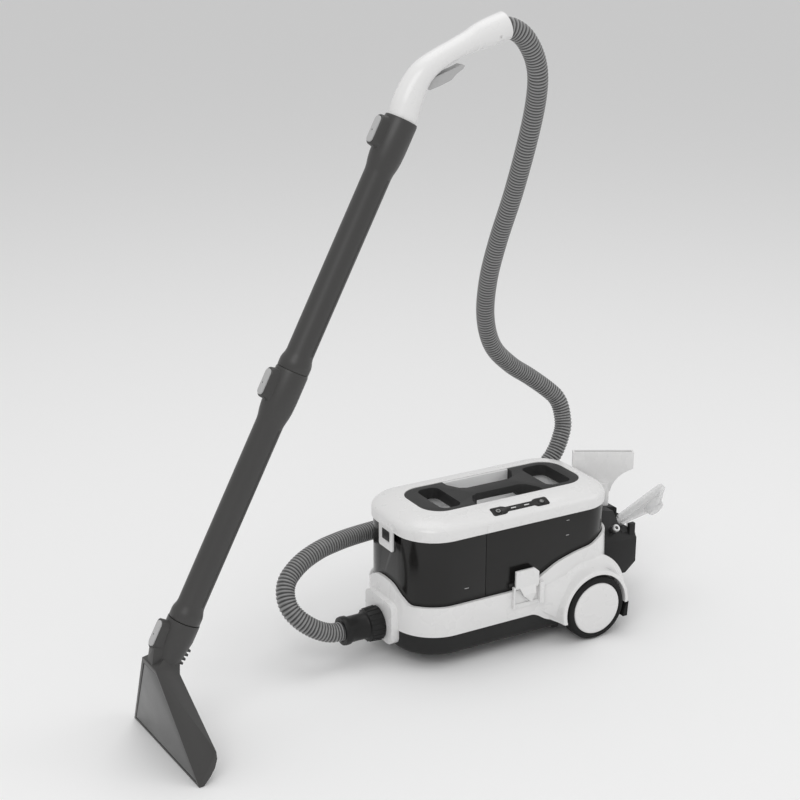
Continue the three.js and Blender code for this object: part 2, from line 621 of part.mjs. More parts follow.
function rearBumper() {
  const x0 = WHEEL_X + WHEEL_R - 2;
  const outline = [
    vec2(x0 + 3, 27), vec2(x0 + 12, 27), vec2(x0 + 14, 54 - GAP), vec2(x0 + 10.5, 54 - GAP), vec2(x0 + 5, 40),
  ];
  const halfWidth = WHEEL_FACE_Y - 3;
  const bar = prism('xz', outline, -halfWidth, halfWidth);
  const keep = cut(box([x0 - 40, x0 + 70], [-halfWidth, halfWidth], [0, 80]), bodyPrism(-BASE_OUTSET - GAP, -10, 120));
  const backX = BODY_HALF_LENGTH + BASE_OUTSET + 0.5;
  const bridge = box([backX, backX + 4], [-100, 100], [30, 52]);
  return join(bar.intersect(keep), bridge);
}

const GLAND = [25, 66]; // y, z of the mains lead's entry

function cordGland() {
  const face = BODY_HALF_LENGTH + BASE_OUTSET;
  const at = (x) => vec3(x, ...GLAND);
  const body = join(rod(at(face - 13), at(face + 1), 9, 9), rod(at(face + GAP), at(face + 11), 11, 7));
  return cut(body, rod(at(face - 40), at(face + 30), 4, 4, 12));
}

// ---- running gear -------------------------------------------------------------------------------
function tyre(side) {
  const half = WHEEL_WIDTH / 2;
  const profile = [
    [HUB_R + GAP + 0.5, -half + 1], [HUB_R + 5, -half], [WHEEL_R - 3, -half + 3], [WHEEL_R - 0.6, -half + 8], [WHEEL_R, -2],
    [WHEEL_R, 2], [WHEEL_R - 0.6, half - 8], [WHEEL_R - 3, half - 3], [HUB_R + 5, half], [HUB_R + GAP + 0.5, half - 1],
  ];
  return moved(turned(profile, 36),
    shift(WHEEL_X, side * (WHEEL_FACE_Y - half - 1), WHEEL_R).multiply(turn(X_AXIS, side * -90)));
}

function hub(side) {
  const depth = WHEEL_WIDTH - 4;
  const profile = [
    [0, 0.6], [HUB_R - 8, 0.3], [HUB_R - 1, -0.6], [HUB_R, -2], [HUB_R, -depth], [16, -depth],
    [16, -depth - 2], [AXLE_R + GAP, -depth - 2], [AXLE_R + GAP, -8], [0, -8],
  ];
  return moved(turned(profile.reverse(), 36),
    shift(WHEEL_X, side * WHEEL_FACE_Y, WHEEL_R).multiply(turn(X_AXIS, side * -90)));
}

const axle = () => rod(vec3(WHEEL_X, -WHEEL_FACE_Y + 9, WHEEL_R), vec3(WHEEL_X, WHEEL_FACE_Y - 9, WHEEL_R), AXLE_R);

function casterFork(y) {
  const axleX = CASTER_X + CASTER_TRAIL;
  const crown = FLOOR_CLEARANCE - GAP;
  const plate = box([CASTER_X - 8, axleX + 5], [y - 8.5, y + 8.5], [crown - 1.9, crown]);
  const cheeks = [-1, 1].map((s) => box([axleX - 5, axleX + 5], [y + s * 7.3 - 1.2, y + s * 7.3 + 1.2], [CASTER_R - 4, crown - 0.5]));
  const stem = rod(vec3(CASTER_X, y, crown - 0.5), vec3(CASTER_X, y, FLOOR_CLEARANCE + 10), 4, 4, 16);
  const pin = rod(vec3(axleX, y - 7.5, CASTER_R), vec3(axleX, y + 7.5, CASTER_R), 2, 2, 16);
  return join(plate, ...cheeks, stem, pin);
}

function casterWheel(y) {
  const at = (offset) => vec3(CASTER_X + CASTER_TRAIL, y + offset, CASTER_R);
  return cut(rod(at(-5.6), at(5.6), CASTER_R, CASTER_R, 32), rod(at(-9), at(9), 2 + GAP, 2 + GAP, 16));
}

// ---- machinery in the base -------------------------------------------------------------------
const MOTOR_Z = WHEEL_R + AXLE_R; // just above the axle
const MOTOR_R = 45;
const MOTOR_TOP_Z = 130;

function motorCan() {
  const at = (z) => vec3(MOTOR_X, 0, z);
  const can = cut(rod(at(MOTOR_Z), at(MOTOR_TOP_Z), MOTOR_R, MOTOR_R, 28), rod(at(MOTOR_TOP_Z - 26), at(MOTOR_TOP_Z + 5), MOTOR_R - 4, MOTOR_R - 4, 28));
  return cut(can, rod(at(MOTOR_TOP_Z - 50), at(MOTOR_TOP_Z), 4 + GAP, 4 + GAP, 16));
}

function impeller() {
  const at = (z) => vec3(MOTOR_X, 0, z);
  const base = MOTOR_TOP_Z - 22;
  const disc = rod(at(base), at(base + 2), MOTOR_R - 7, MOTOR_R - 7, 32);
  const shaft = rod(at(base - 24), at(base + 14), 4, 4, 16);
  const blades = [];
  for (let i = 0; i < 7; i += 1) {
    blades.push(moved(box([9, MOTOR_R - 8], [-1, 1], [base + 1, base + 13]),
      shift(MOTOR_X, 0, 0).multiply(turn(Z_AXIS, (360 / 7) * i)).multiply(shift(-4, 0, 0))));
  }
  return join(disc, shaft, ...blades, rod(at(base + 1), at(base + 13), 9, 6, 24));
}

// Plate under the tanks; it follows their underside and closes the machinery bay.
function tankDeck() {
  const line = (offset) => TANK_UNDERSIDE.map(([x, rise]) => vec2(x, TANK_BOTTOM_Z + rise + offset));
  const sheet = prism('xz', [...line(-GAP - 2.5), ...line(-GAP).reverse()], -150, 150);
  const valve = rod(vec3(...VALVE, 60), vec3(...VALVE, 120), VALVE_R + 2);
  const inlet = rod(vec3(INLET_X, 0, 60), vec3(INLET_X, 0, 120), 20 + GAP, 20 + GAP, 20);
  return cut(sheet.intersect(bodyPrism(TANK_INSET - 0.9, 60, 200)), valve, inlet);
}

function suctionElbow() {
  const back = -BODY_HALF_LENGTH - BASE_OUTSET - BOSS_DEPTH + 28;
  const corner = vec3(INLET_X, 0, PORT_Z);
  const outer = join(rod(vec3(back + GAP, 0, PORT_Z), vec3(INLET_X + 18, 0, PORT_Z), 20, 20, 20),
    rod(corner.clone().setZ(PORT_Z - 18), corner.clone().setZ(TANK_BOTTOM_Z - GAP), 20, 20, 20));
  const inner = join(rod(vec3(back - 5, 0, PORT_Z), vec3(INLET_X + 10, 0, PORT_Z), 16, 16, 16),
    rod(corner.clone().setZ(PORT_Z - 12), corner.clone().setZ(TANK_BOTTOM_Z + 9), 16, 16, 16));
  return cut(outer, inner);
}

function waterPump() {
  const z = FLOOR_CLEARANCE + WALL + GAP + 15;
  const body = rod(vec3(-70, -45, z), vec3(-16, -45, z), 15, 15, 24);
  const head = box([-84, -70], [-62, -28], [z - 14, z + 14]);
  const spout = rod(vec3(-77, -45, z + 10), vec3(-77, -45, z + 26), 4, 4, 12);
  return join(body, head, spout);
}

function controlBoard() {
  const z = FLOOR_CLEARANCE + WALL + GAP;
  const x0 = MOTOR_X - MOTOR_R - 87;
  const feet = [[7, 20], [7, 70], [62, 20], [62, 70]].map(([x, y]) =>
    rod(vec3(x0 + x, y, z), vec3(x0 + x, y, z + 5), 3, 3, 10));
  const board = box([x0, x0 + 68], [14, 76], [z + 4.5, z + 6.1]);
  const cans = [60, 34].map((y) => rod(vec3(x0 + 47, y, z + 6), vec3(x0 + 47, y, z + 24), 8, 8, 16));
  return join(board, ...feet, box([x0 + 6, x0 + 30], [30, 52], [z + 6, z + 20]), ...cans);
}

// ---- side latch ---------------------------------------------------------------------------------
const LATCH_X = [WHEEL_X - 150.5, WHEEL_X - 104.5];
const LATCH_Y = -(BODY_HALF_WIDTH + BASE_OUTSET);
const LATCH_OUT = 5.5; // how far its plate stands off the shell
const LATCH_PIN = [LATCH_Y - 3.5, 117]; // y, z
const latchPin = (r) => rod(vec3(LATCH_X[0] - 3, ...LATCH_PIN), vec3(LATCH_X[1] + 6, ...LATCH_PIN), r, r, 12);

function tankLatch() {
  const outer = LATCH_Y - LATCH_OUT;
  const inner = LATCH_Y - 1.6;
  const [x0, x1] = LATCH_X;
  const plate = prism('xz', [
    vec2(x0, 119), vec2(x1 - 2, 114), vec2(x1, 120), vec2(x1, 141), vec2(x1 - 9, 149), vec2(x0, 149),
  ], outer, inner);
  const lobe = hull([
    vec3(x0 + 8, inner, 118), vec3(x1 - 6, inner, 120), vec3(x0 + 8, outer, 118), vec3(x1 - 6, outer, 120),
    vec3(x0 + 12, outer - 7, 106), vec3(x1 - 10, outer - 7, 108), vec3(x0 + 29, outer - 5, 91),
    vec3(x0 + 29, outer + 1.5, 90), vec3(x0 + 39, outer + 1.5, 95), vec3(x0 + 19, outer + 1.5, 97),
  ]);
  const pad = box([x0 + 17, x0 + 31], [inner - 1, -(BODY_HALF_WIDTH - TANK_INSET) - 0.6], [130, 137]);
  return join(plate, lobe, pad, latchPin(1.5));
}

function latchBracket() {
  const y = [LATCH_Y - 8, LATCH_Y - GAP];
  const back = box([LATCH_X[0] - 4, LATCH_X[1] + 10], [LATCH_Y - 1.8, LATCH_Y - GAP], [80, 88]);
  const rear = box([LATCH_X[1] + 1.5, LATCH_X[1] + 10], y, [82, 121]);
  const front = box([LATCH_X[0] - 4, LATCH_X[0] - 1], [LATCH_Y - 6, LATCH_Y - GAP], [82, 121]);
  return cut(join(back, rear, front), latchPin(1.5 + GAP));
}

// ---- tool caddy and its tools ---------------------------------------------------------------------
const HAND_ROOT = vec3(CADDY_FRONT_X + 58.7, -22, 150);
const handFrame = () => shift(HAND_ROOT.x, HAND_ROOT.y, HAND_ROOT.z)
  .multiply(turn(Y_AXIS, -HAND_PITCH)).multiply(turn(X_AXIS, -60));
const HAND_TAIL_R = 7;

function toolCaddy() {
  const half = CADDY_HALF_WIDTH;
  const section = [
    vec2(-half, CADDY_BOTTOM_Z), vec2(half, CADDY_BOTTOM_Z), vec2(half, CADDY_TOP_Z - 6), vec2(half - 6, CADDY_TOP_Z),
    vec2(-half + 42, CADDY_TOP_Z), vec2(-half, CADDY_SHOULDER_Z),
  ];
  const side = [
    vec2(CADDY_FRONT_X, 98), vec2(CADDY_REAR_X - 35, CADDY_BOTTOM_Z), vec2(CADDY_REAR_X - 21, CADDY_BOTTOM_Z),
    vec2(CADDY_REAR_X, 84), vec2(CADDY_REAR_X, 164), vec2(CADDY_REAR_X - 7, 168), vec2(CADDY_FRONT_X, 179),
  ];
  const block = prism('yz', section, CADDY_FRONT_X, CADDY_REAR_X).intersect(prism('xz', side, -half, half));
  const shelf = box([STEP_X, CADDY_REAR_X + 25], [-half - 5, 0], [STEP_Z, 220]);
  const posts = [[-56, -49], [-8, -2]].map(([y0, y1]) => box([STEP_X + 12, CADDY_REAR_X - 1], [y0, y1], [STEP_Z - 8, STEP_Z + 16]));
  const wideSocket = rod(vec3(...WIDE_TOOL, 108), vec3(...WIDE_TOOL, 220), WIDE_NECK_R + GAP + 0.2, WIDE_NECK_R + GAP + 0.2, 32);
  const handSocket = moved(rod(vec3(-46, 0, 0), vec3(20, 0, 0), HAND_TAIL_R + GAP), handFrame());
  const tipSocket = rod(SPRAY_ROOT, SPRAY_ROOT.clone().addScaledVector(SPRAY_AXIS, 60), 6 + GAP, 6 + GAP, 20);
  return cut(join(cut(block, shelf), ...posts), wideSocket, handSocket, tipSocket);
}

const SPRAY_AXIS = vec3(0, -Math.sin(rad(50)), Math.cos(rad(50)));
const SPRAY_ROOT = vec3(CADDY_FRONT_X + 27.7, -36, 138);

function sprayTip() {
  const along = (d) => SPRAY_ROOT.clone().addScaledVector(SPRAY_AXIS, d);
  return cut(join(rod(along(0.5), along(22), 6, 6, 20), rod(along(21), along(28), 7.5, 6.5, 20)),
    rod(along(10), along(40), 3, 3, 12));
}

// A flat fan whose wide mouth is a slot; used upright for the wide tool and aslant for the hand nozzle.
function wideTool() {
  const half = 54;
  const [top, edge, waist] = [270, 239, 196];
  const outer = new THREE.Shape();
  outer.moveTo(-half, top);
  outer.lineTo(-half, edge);
  outer.quadraticCurveTo(-WIDE_NECK_R - 6, edge - 12, -WIDE_NECK_R, waist);
  outer.lineTo(WIDE_NECK_R, waist);
  outer.quadraticCurveTo(WIDE_NECK_R + 6, edge - 12, half, edge);
  outer.lineTo(half, top);
  const fan = prism('xz', outer, -7, 7);
  const mouth = prism('xz', [vec2(-half + 3, top + 5), vec2(-half + 3, edge + 3), vec2(-9, waist + 14), vec2(9, waist + 14),
    vec2(half - 3, edge + 3), vec2(half - 3, top + 5)], -4.4, 4.4);
  const neck = rod(vec3(0, 0, 112), vec3(0, 0, waist + 16), WIDE_NECK_R, WIDE_NECK_R - 1, 32);
  const bore = rod(vec3(0, 0, 100), vec3(0, 0, waist + 16.5), WIDE_NECK_R - 2.5, 4.4, 24);
  return moved(cut(join(fan, neck), mouth, bore), shift(...WIDE_TOOL, 0).multiply(turn(Z_AXIS, -29.5)));
}

function handNozzle() {
  const reach = 98;
  const fan = hull([
    ...[-1, 1].flatMap((s) => [-1, 1].flatMap((t) => [vec3(0, s * 8, t * 7), vec3(reach, s * 31, t * 5), vec3(reach - 8, s * 31, t * 7)])),
  ]);
  const mouth = hull([
    ...[-1, 1].flatMap((s) => [-1, 1].flatMap((t) => [vec3(4, s * 5, t * 4), vec3(reach + 5, s * 29, t * 3)])),
  ]);
  const lobe = moved(rod(vec3(reach - 26, 0, -7), vec3(reach - 26, 0, -20), 19, 15, 24), shift(0, 0, 0.5));
  const tail = rod(vec3(-38, 0, 0), vec3(3, 0, 0), HAND_TAIL_R);
  const bore = rod(vec3(-60, 0, 0), vec3(8, 0, 0), HAND_TAIL_R - 2.5);
  return moved(cut(join(fan, tail, lobe), mouth, bore), handFrame());
}

function clearClip() {
  const x = CADDY_REAR_X + GAP;
  const plate = box([x, x + 3], [-46, -28], [96, 146]);
  const hook = prism('xz', [vec2(x + 2, 108), vec2(x + 11, 108), vec2(x + 11, 130), vec2(x + 8.5, 130), vec2(x + 8.5, 111), vec2(x + 2, 111)], -43, -31);
  return join(plate, hook);
}

// ---- hose ---------------------------------------------------------------------------------------
// Free route of the hose: out of the port, round the front, along the far side, up and over to
// the wand handle.
const HOSE_STEPS = 62;
const HOSE_ROUTE = [
  [-266, 0, 58.5], [-286, 0, 58.8], [-307, -1, 62], [-333, 1, 75], [-355, 9, 93], [-367, 21, 111], [-367, 36, 129],
  [-357, 50, 145], [-338, 61, 157], [-313, 72, 166], [-279, 84, 172], [-245, 95, 173], [-211, 107, 171],
  [-165, 121, 167], [-100, 132, 164], [-30, 137, 163], [50, 139, 166], [120, 137, 175], [180, 134, 194],
  [225, 135, 227], [252, 144, 268], [258, 153, 297], [252, 160, 325], [235, 165, 345], [194, 168, 377],
  [148, 166, 409], [103, 155, 453], [74, 135, 515], [59, 105, 589], [53, 68, 665], [48, 20, 750],
  [39, -26, 831], [29, -63, 899], [16, -89, 947], [3, -101, 978], [-14, -109, 1002], [-31, -113, 1019], [-50, -114, 1029], [-66, -114, 1031], [-80, -114, 1028],
];

// The route was laid round a body of this size; on another body its low part keeps its distance.
const ROUTE_BODY = [199.5, 103];
const share = (value, full) => Math.min(Math.max(value / full, -1), 1);
const hosePoint = ([x, y, z]) => {
  const low = Math.max(share(500 - z, 200), 0);
  return vec3(x + (BODY_HALF_LENGTH - ROUTE_BODY[0]) * share(x, 200) * low,
    y + (BODY_HALF_WIDTH - ROUTE_BODY[1]) * share(y, 130) * low, z);
};

function hoseSweep(radius) {
  const curve = new THREE.CatmullRomCurve3(HOSE_ROUTE.map(hosePoint), false, 'centripetal');
  const section = new THREE.Shape();
  section.absarc(0, 0, radius, 0, Math.PI * 2);
  return toSolid(new THREE.ExtrudeGeometry(section,
    { steps: HOSE_STEPS, curveSegments: 5, extrudePath: curve, bevelEnabled: false }));
}

function hoseConnector() {
  const face = -BODY_HALF_LENGTH - BASE_OUTSET - BOSS_DEPTH;
  const at = (x) => vec3(x, 0, PORT_Z);
  const body = join(
    rod(at(face + 22), at(face - 1), PORT_R - 0.6, PORT_R - 0.6, 28), rod(at(face - GAP), at(face - 26), 28.4, 26.5, 28),
    rod(at(face - 25), at(face - 60), 21.8, 21.8, 28), rod(at(face - 59), at(face - 64), 21.8, 24.2, 28),
    rod(at(face - 63.9), at(face - 70), 24.2, 22, 28));
  return cut(body, rod(at(face + 40), at(face - 48), 14, 14, 20), rod(at(face - 47.9), at(face - 80), HOSE_R + 0.9, HOSE_R + 0.9, 24));
}

// ---- wand -----------------------------------------------------------------------------------------
// Wand frame: +Z runs up along the tubes from the ring line above the floor tool, -X faces the user's
// thumb side, where the release buttons are.
const wandFrame = () => shift(WAND_FOOT[0], WAND_Y, WAND_FOOT[1]).multiply(turn(Y_AXIS, WAND_LEAN));
const TUBE_SIDES = 24;
const BEZEL_REACH = SOCKET_R + 10;
const BEZEL_SPAN = [-52, -6]; // along the tube, from the ring line down

function bezel(ring) {
  const middle = ring + (BEZEL_SPAN[0] + BEZEL_SPAN[1]) / 2;
  const halfSpan = (BEZEL_SPAN[1] - BEZEL_SPAN[0]) / 2;
  const pad = prism('yz', roundedRect(0, middle, 10.5, halfSpan, 10), -BEZEL_REACH, -12);
  const pocket = prism('yz', roundedRect(0, middle, 7.5 + GAP, halfSpan - 3 + GAP, 7), -BEZEL_REACH - 5, -BEZEL_REACH + 6.5);
  return { pad, pocket };
}

function releaseKey(ring) {
  const middle = ring + (BEZEL_SPAN[0] + BEZEL_SPAN[1]) / 2;
  const halfSpan = (BEZEL_SPAN[1] - BEZEL_SPAN[0]) / 2;
  return moved(prism('yz', roundedRect(0, middle, 7.5, halfSpan - 3, 6.5), -BEZEL_REACH - 2.4, -BEZEL_REACH + 2.6), wandFrame());
}

// One tube: a spigot below, a collar at its ring line, the long tube, and a socket at its upper end.
function wandTube(start, length, spigotLength) {
  const end = start + length;
  const spigotR = TUBE_R - GAP;
  const profile = [
    [TUBE_R - TUBE_WALL, start - spigotLength], [spigotR, start - spigotLength], [spigotR, start + GAP],
    [SOCKET_R - 0.8, start + GAP], [SOCKET_R - 0.8, start + 12], [TUBE_R, start + 26],
    [TUBE_R, end - SOCKET_LENGTH - 8], [SOCKET_R - 1.4, end - SOCKET_LENGTH + 6], [SOCKET_R, end - 40], [SOCKET_R, end],
    [TUBE_R, end], [TUBE_R, end - SPIGOT_LENGTH - 2], [TUBE_R - TUBE_WALL, end - SPIGOT_LENGTH - 6],
  ];
  const { pad, pocket } = bezel(end);
  const bore = rod(vec3(0, 0, start - 80), vec3(0, 0, end - SPIGOT_LENGTH), TUBE_R - TUBE_WALL, TUBE_R - TUBE_WALL, TUBE_SIDES);
  const socket = rod(vec3(0, 0, end - SPIGOT_LENGTH - 2), vec3(0, 0, end + 5), TUBE_R, TUBE_R, TUBE_SIDES);
  return moved(cut(join(turned(profile, TUBE_SIDES), pad), pocket, bore, socket), wandFrame());
}

// A point of the floor tool: x from the lip, a share of the way to either side, and a height.
const toolPoint = (x, side, halfWidth, z) => vec3(LIP_X + x, WAND_Y + side * halfWidth, z);
const toolTurn = () =>
  shift(LIP_X, WAND_Y, 0).multiply(turn(Z_AXIS, TOOL_YAW)).multiply(shift(-LIP_X, -WAND_Y, 0));
const toolHull = (corners) =>
  hull([-1, 1].flatMap((side) => corners.map(([x, halfWidth, z]) => toolPoint(x, side, halfWidth, z))));
const CONE_TOP = -26; // the neck's socket narrows from here
const CONE_BOTTOM = -74;
const CONE_R = SOCKET_R - 8; // to this radius
const coneRadius = (z) => SOCKET_R + ((CONE_R - SOCKET_R) * (CONE_TOP - z)) / (CONE_TOP - CONE_BOTTOM);

function toolNeck() {
  const at = (z) => vec3(0, 0, z);
  const { pad, pocket } = bezel(0);
  const fin = hull([-1, 1].flatMap((side) => [
    vec3(1 - BEZEL_REACH, side * 8, -44), vec3(-22, side * 9, -30), vec3(-24, side * 10, -76), vec3(-12, side * 12, -76),
  ]));
  const ribs = [-40, -47, -54, -61].map((z) =>
    box([coneRadius(z) - 3, coneRadius(z) + 2.2], [-11, 11], [z - 1.6, z + 1.6]));
  const body = join(rod(at(CONE_TOP - 0.1), at(-GAP), SOCKET_R, SOCKET_R, TUBE_SIDES),
    rod(at(CONE_BOTTOM), at(CONE_TOP), CONE_R, SOCKET_R, TUBE_SIDES), pad, fin, ...ribs);
  const bore = join(rod(at(-TOOL_SPIGOT_LENGTH - 2), at(9), TUBE_R, TUBE_R, TUBE_SIDES),
    rod(at(CONE_BOTTOM - 10), at(9), CONE_R - 3, CONE_R - 3, 20));
  return { body, bore: join(bore, pocket) };
}

function floorTool() {
  const top = PLATE_TOP_Z;
  const fan = toolHull([
    [0, LIP_HALF_WIDTH, 0], [7, LIP_HALF_WIDTH, 0], [-PLATE_LEAN, NECK_HALF_WIDTH, top],
    [19, LIP_HALF_WIDTH, 13], [26, LIP_HALF_WIDTH, 24], [30, LIP_HALF_WIDTH, 38], [29, LIP_HALF_WIDTH, 50],
    [PLATE_LEAN, NECK_HALF_WIDTH - 2, top - 14],
  ]);
  const hollow = toolHull([
    [2.5, LIP_HALF_WIDTH - 4, -2], [4.5, LIP_HALF_WIDTH - 4, -2], [-PLATE_LEAN + 4, NECK_HALF_WIDTH - 5, top - 5],
    [23, LIP_HALF_WIDTH - 5, 29], [26, LIP_HALF_WIDTH - 5, 42], [PLATE_LEAN - 6, NECK_HALF_WIDTH - 8, top - 18],
  ]);
  const windowCut = toolHull([
    [-5.5, LIP_HALF_WIDTH - 8, 4.5], [4.5, LIP_HALF_WIDTH - 8, 4.5],
    [-PLATE_LEAN - 4.5, NECK_HALF_WIDTH - 2, top - 8], [-PLATE_LEAN + 5, NECK_HALF_WIDTH - 2, top - 8],
  ]);
  const { body, bore } = toolNeck();
  const ends = (matrix, points) => points.map((p) => p.applyMatrix4(matrix));
  const blend = hull([
    ...ends(toolTurn(), [-1, 1].flatMap((side) => [
      toolPoint(-PLATE_LEAN, side, NECK_HALF_WIDTH, top), toolPoint(-PLATE_LEAN + 2.5, side, NECK_HALF_WIDTH, top - 20),
      toolPoint(PLATE_LEAN, side, NECK_HALF_WIDTH - 2, top - 14), toolPoint(PLATE_LEAN, side, NECK_HALF_WIDTH, top - 30),
    ])),
    ...ends(wandFrame(), [-1, 1].flatMap((side) => [-1, 1].map((t) => vec3(t * 14, side * 15, -60)))),
  ]);
  return cut(join(moved(fan, toolTurn()), blend, moved(body, wandFrame())),
    moved(hollow, toolTurn()), moved(windowCut, toolTurn()), moved(bore, wandFrame()));
}

// The see-through plate in the fan's front.
function toolWindow() {
  const top = PLATE_TOP_Z;
  const rise = PLATE_LEAN / top; // the front face leans this much for each unit of height
  const corner = (halfWidth, z, depth) => [depth - rise * z, halfWidth, z];
  return moved(toolHull([0.2, 2].flatMap((depth) => [
    corner(LIP_HALF_WIDTH - 9.5, 5.5, depth), corner(NECK_HALF_WIDTH - 3.5, top - 9, depth),
  ])), toolTurn());
}

// Handle centreline in the wand's plane above the top tube: x, z, half height, half width.
const HANDLE_PATH = [
  [-224, 938, 21.4, 21.4], [-213, 959, 19.8, 20.4], [-197, 978, 17.6, 19.6], [-171, 993.5, 15.4, 18.4],
  [-145, 1005, 15, 18], [-120, 1015, 16.6, 18.4], [-107, 1019.8, 19.2, 19.6], [-88, 1026, 20.6, 20.6],
  [-62.5, 1033.7, 21.4, 21.4],
];
const HANDLE_START = LOWER_TUBE_LENGTH + UPPER_TUBE_LENGTH;

// Rings along the handle; each stands square to the centreline, the first square to the tube.
function handleRings(radii) {
  const start = vec3(0, 0, HANDLE_START + GAP).applyMatrix4(wandFrame());
  const path = [[start.x, start.z, TUBE_R + 1.2, TUBE_R + 1.2], ...HANDLE_PATH];
  const at = path.map(([x, z]) => vec2(x, z));
  const last = at.length - 1;
  return path.map(([x, z, high, wide], i) => {
    const chord = at[Math.min(i + 1, last)].clone().sub(at[Math.max(i - 1, 0)]).normalize();
    const along = i === 0 ? vec2(Math.sin(rad(WAND_LEAN)), Math.cos(rad(WAND_LEAN))) : chord;
    const [up, out] = radii(high, wide);
    return Array.from({ length: 20 }, (_, k) => {
      const angle = (k / 20) * Math.PI * 2;
      const rise = Math.cos(angle) * up;
      return vec3(x + along.y * rise, WAND_Y + Math.sin(angle) * out, z - along.x * rise);
    });
  });
}

const TRIGGER_PIN = [-195, 962]; // x, z
const triggerPin = (r) =>
  rod(vec3(TRIGGER_PIN[0], WAND_Y - 12, TRIGGER_PIN[1]), vec3(TRIGGER_PIN[0], WAND_Y + 12, TRIGGER_PIN[1]), r, r, 12);

function wandHandle() {
  const spigot = rod(vec3(0, 0, HANDLE_START - SPIGOT_LENGTH + 2), vec3(0, 0, HANDLE_START + 6), TUBE_R - GAP, TUBE_R - GAP, TUBE_SIDES);
  const spigotBore = rod(vec3(0, 0, HANDLE_START - 80), vec3(0, 0, HANDLE_START + 20), 13, 13, 16);
  const body = loft(handleRings((high, wide) => [high, wide]));
  const bore = loft(handleRings((high) => [Math.min(high - 4, 12), 12]));
  const slot = prism('xz', [
    vec2(-203, 946), vec2(-180, 946), vec2(-124, 974), vec2(-124, 993), vec2(-150, 990), vec2(-203, 970),
  ], WAND_Y - 9, WAND_Y + 9);
  const shell = join(body, moved(spigot, wandFrame()));
  return cut(shell, bore, moved(spigotBore, wandFrame()), slot, triggerPin(2 + GAP), hoseSweep(HOSE_R + GAP + 0.1));
}

function wandTrigger() {
  const blade = prism('xz', [
    vec2(-199, 958), vec2(-198, 952), vec2(-192, 949.8), vec2(-175, 954.8), vec2(-156, 962), vec2(-148, 970),
    vec2(-137, 976.5), vec2(-134, 981.5), vec2(-139, 983.4), vec2(-150, 979), vec2(-190, 966), vec2(-198, 966),
  ], WAND_Y - 8, WAND_Y + 8);
  return join(blade, triggerPin(2));
}

// ---- assembly ------------------------------------------------------------------------------------
const machine = new THREE.Group();
const add = (name, solid, material) => machine.add(toMesh(name, solid, material));

add('base_tray', baseTray(), blackSatin());
add('base_shell', baseShell(), whiteGloss());
add('port_socket', portSocket(), blackSatin());
add('rear_bumper', rearBumper(), blackSatin());
add('cord_gland', cordGland(), blackMatte());
add('rear_axle', axle(), steel());
for (const [label, side] of [['near', -1], ['far', 1]]) {
  add(`${label}_tyre`, tyre(side), blackMatte());
  add(`${label}_hub`, hub(side), whiteGloss());
  add(`${label}_caster_fork`, casterFork(side * CASTER_Y), blackSatin());
  add(`${label}_caster_wheel`, casterWheel(side * CASTER_Y), blackMatte());
}
add('motor_can', motorCan(), darkGrey());
add('fan_impeller', impeller(), steel());
add('water_pump', waterPump(), blackSatin());
add('suction_elbow', suctionElbow(), blackSatin());
add('tank_deck', tankDeck(), blackSatin());
add('control_board', controlBoard(), finish(0x2f6b46, 0.6));

add('dirty_tank', dirtyTank(), smoky());
add('clean_tank', cleanTank(), smoky());
add('inlet_pipe', inletPipe(), paleGrey());
add('tank_valve', tankValve(), paleGrey());
add('tank_lid', tankLid(), blackSatin());
add('filler_cap', fillerCap(), paleGrey());
add('float_cage', floatCage(), paleGrey());
add('tank_float', tankFloat(), finish(0xd8d9da, 0.5));

add('top_cover', topCover(), whiteGloss());
add('recess_tray', recessTray(), paleGrey());
add('carry_handle', carryHandle(), darkGrey());
add('control_strip', controlStrip(), blackSatin());
add('power_button', stripButton(POWER_X), blackSatin());
add('mode_button', stripButton(MODE_X), blackSatin());
add('power_light', stripLight(LIGHTS_X[0]), lampWhite());
add('mode_light', stripLight(LIGHTS_X[1]), lampWhite());
add('release_button', releaseButton(), blackSatin());

add('tank_latch', tankLatch(), whiteGloss());
add('latch_bracket', latchBracket(), whiteGloss());

add('tool_caddy', toolCaddy(), blackSatin());
add('wide_tool', wideTool(), whiteGloss());
add('hand_nozzle', handNozzle(), clearPlastic());
add('spray_tip', sprayTip(), steel());
add('clear_clip', clearClip(), clearPlastic());

add('hose_connector', hoseConnector(), blackSatin());
add('hose', hoseSweep(HOSE_R), hoseGrey());

add('wand_handle', wandHandle(), whiteGloss());
add('wand_trigger', wandTrigger(), paleGrey());
add('lower_tube', wandTube(0, LOWER_TUBE_LENGTH, TOOL_SPIGOT_LENGTH), darkGrey());
add('upper_tube', wandTube(LOWER_TUBE_LENGTH, UPPER_TUBE_LENGTH, SPIGOT_LENGTH), darkGrey());
add('floor_tool', floorTool(), darkGrey());
add('tool_window', toolWindow(), clear(0x8d8d8f, 0.3, 0.8));
add('tool_key', releaseKey(0), paleGrey());
add('lower_key', releaseKey(LOWER_TUBE_LENGTH), paleGrey());
add('upper_key', releaseKey(LOWER_TUBE_LENGTH + UPPER_TUBE_LENGTH), paleGrey());

// The origin is on the floor, under the middle of everything but the free hose.
const bounds = new THREE.Box3();
for (const mesh of machine.children) {
  if (mesh.name !== 'hose') bounds.expandByObject(mesh);
}
const middle = bounds.getCenter(vec3(0, 0, 0));
machine.position.set(-middle.x, -middle.y, -bounds.min.z);
machine.updateMatrixWorld(true);

export default machine;
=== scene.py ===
# %% [markdown]
# A carpet and upholstery cleaner, finished in Blender.
# The CAD model fixes every size and joint. This lesson gives each piece its smooth surface
# and its material, and says why each one is made the way it is.
# All shapes are written in the machine's own millimetres: X runs from the hose port to the
# tool caddy, Y across the machine, Z up. One function turns them into the frame's metres.

# %% Load the frame
import json
import math
import bmesh
import bpy
from mathutils import Matrix, Vector

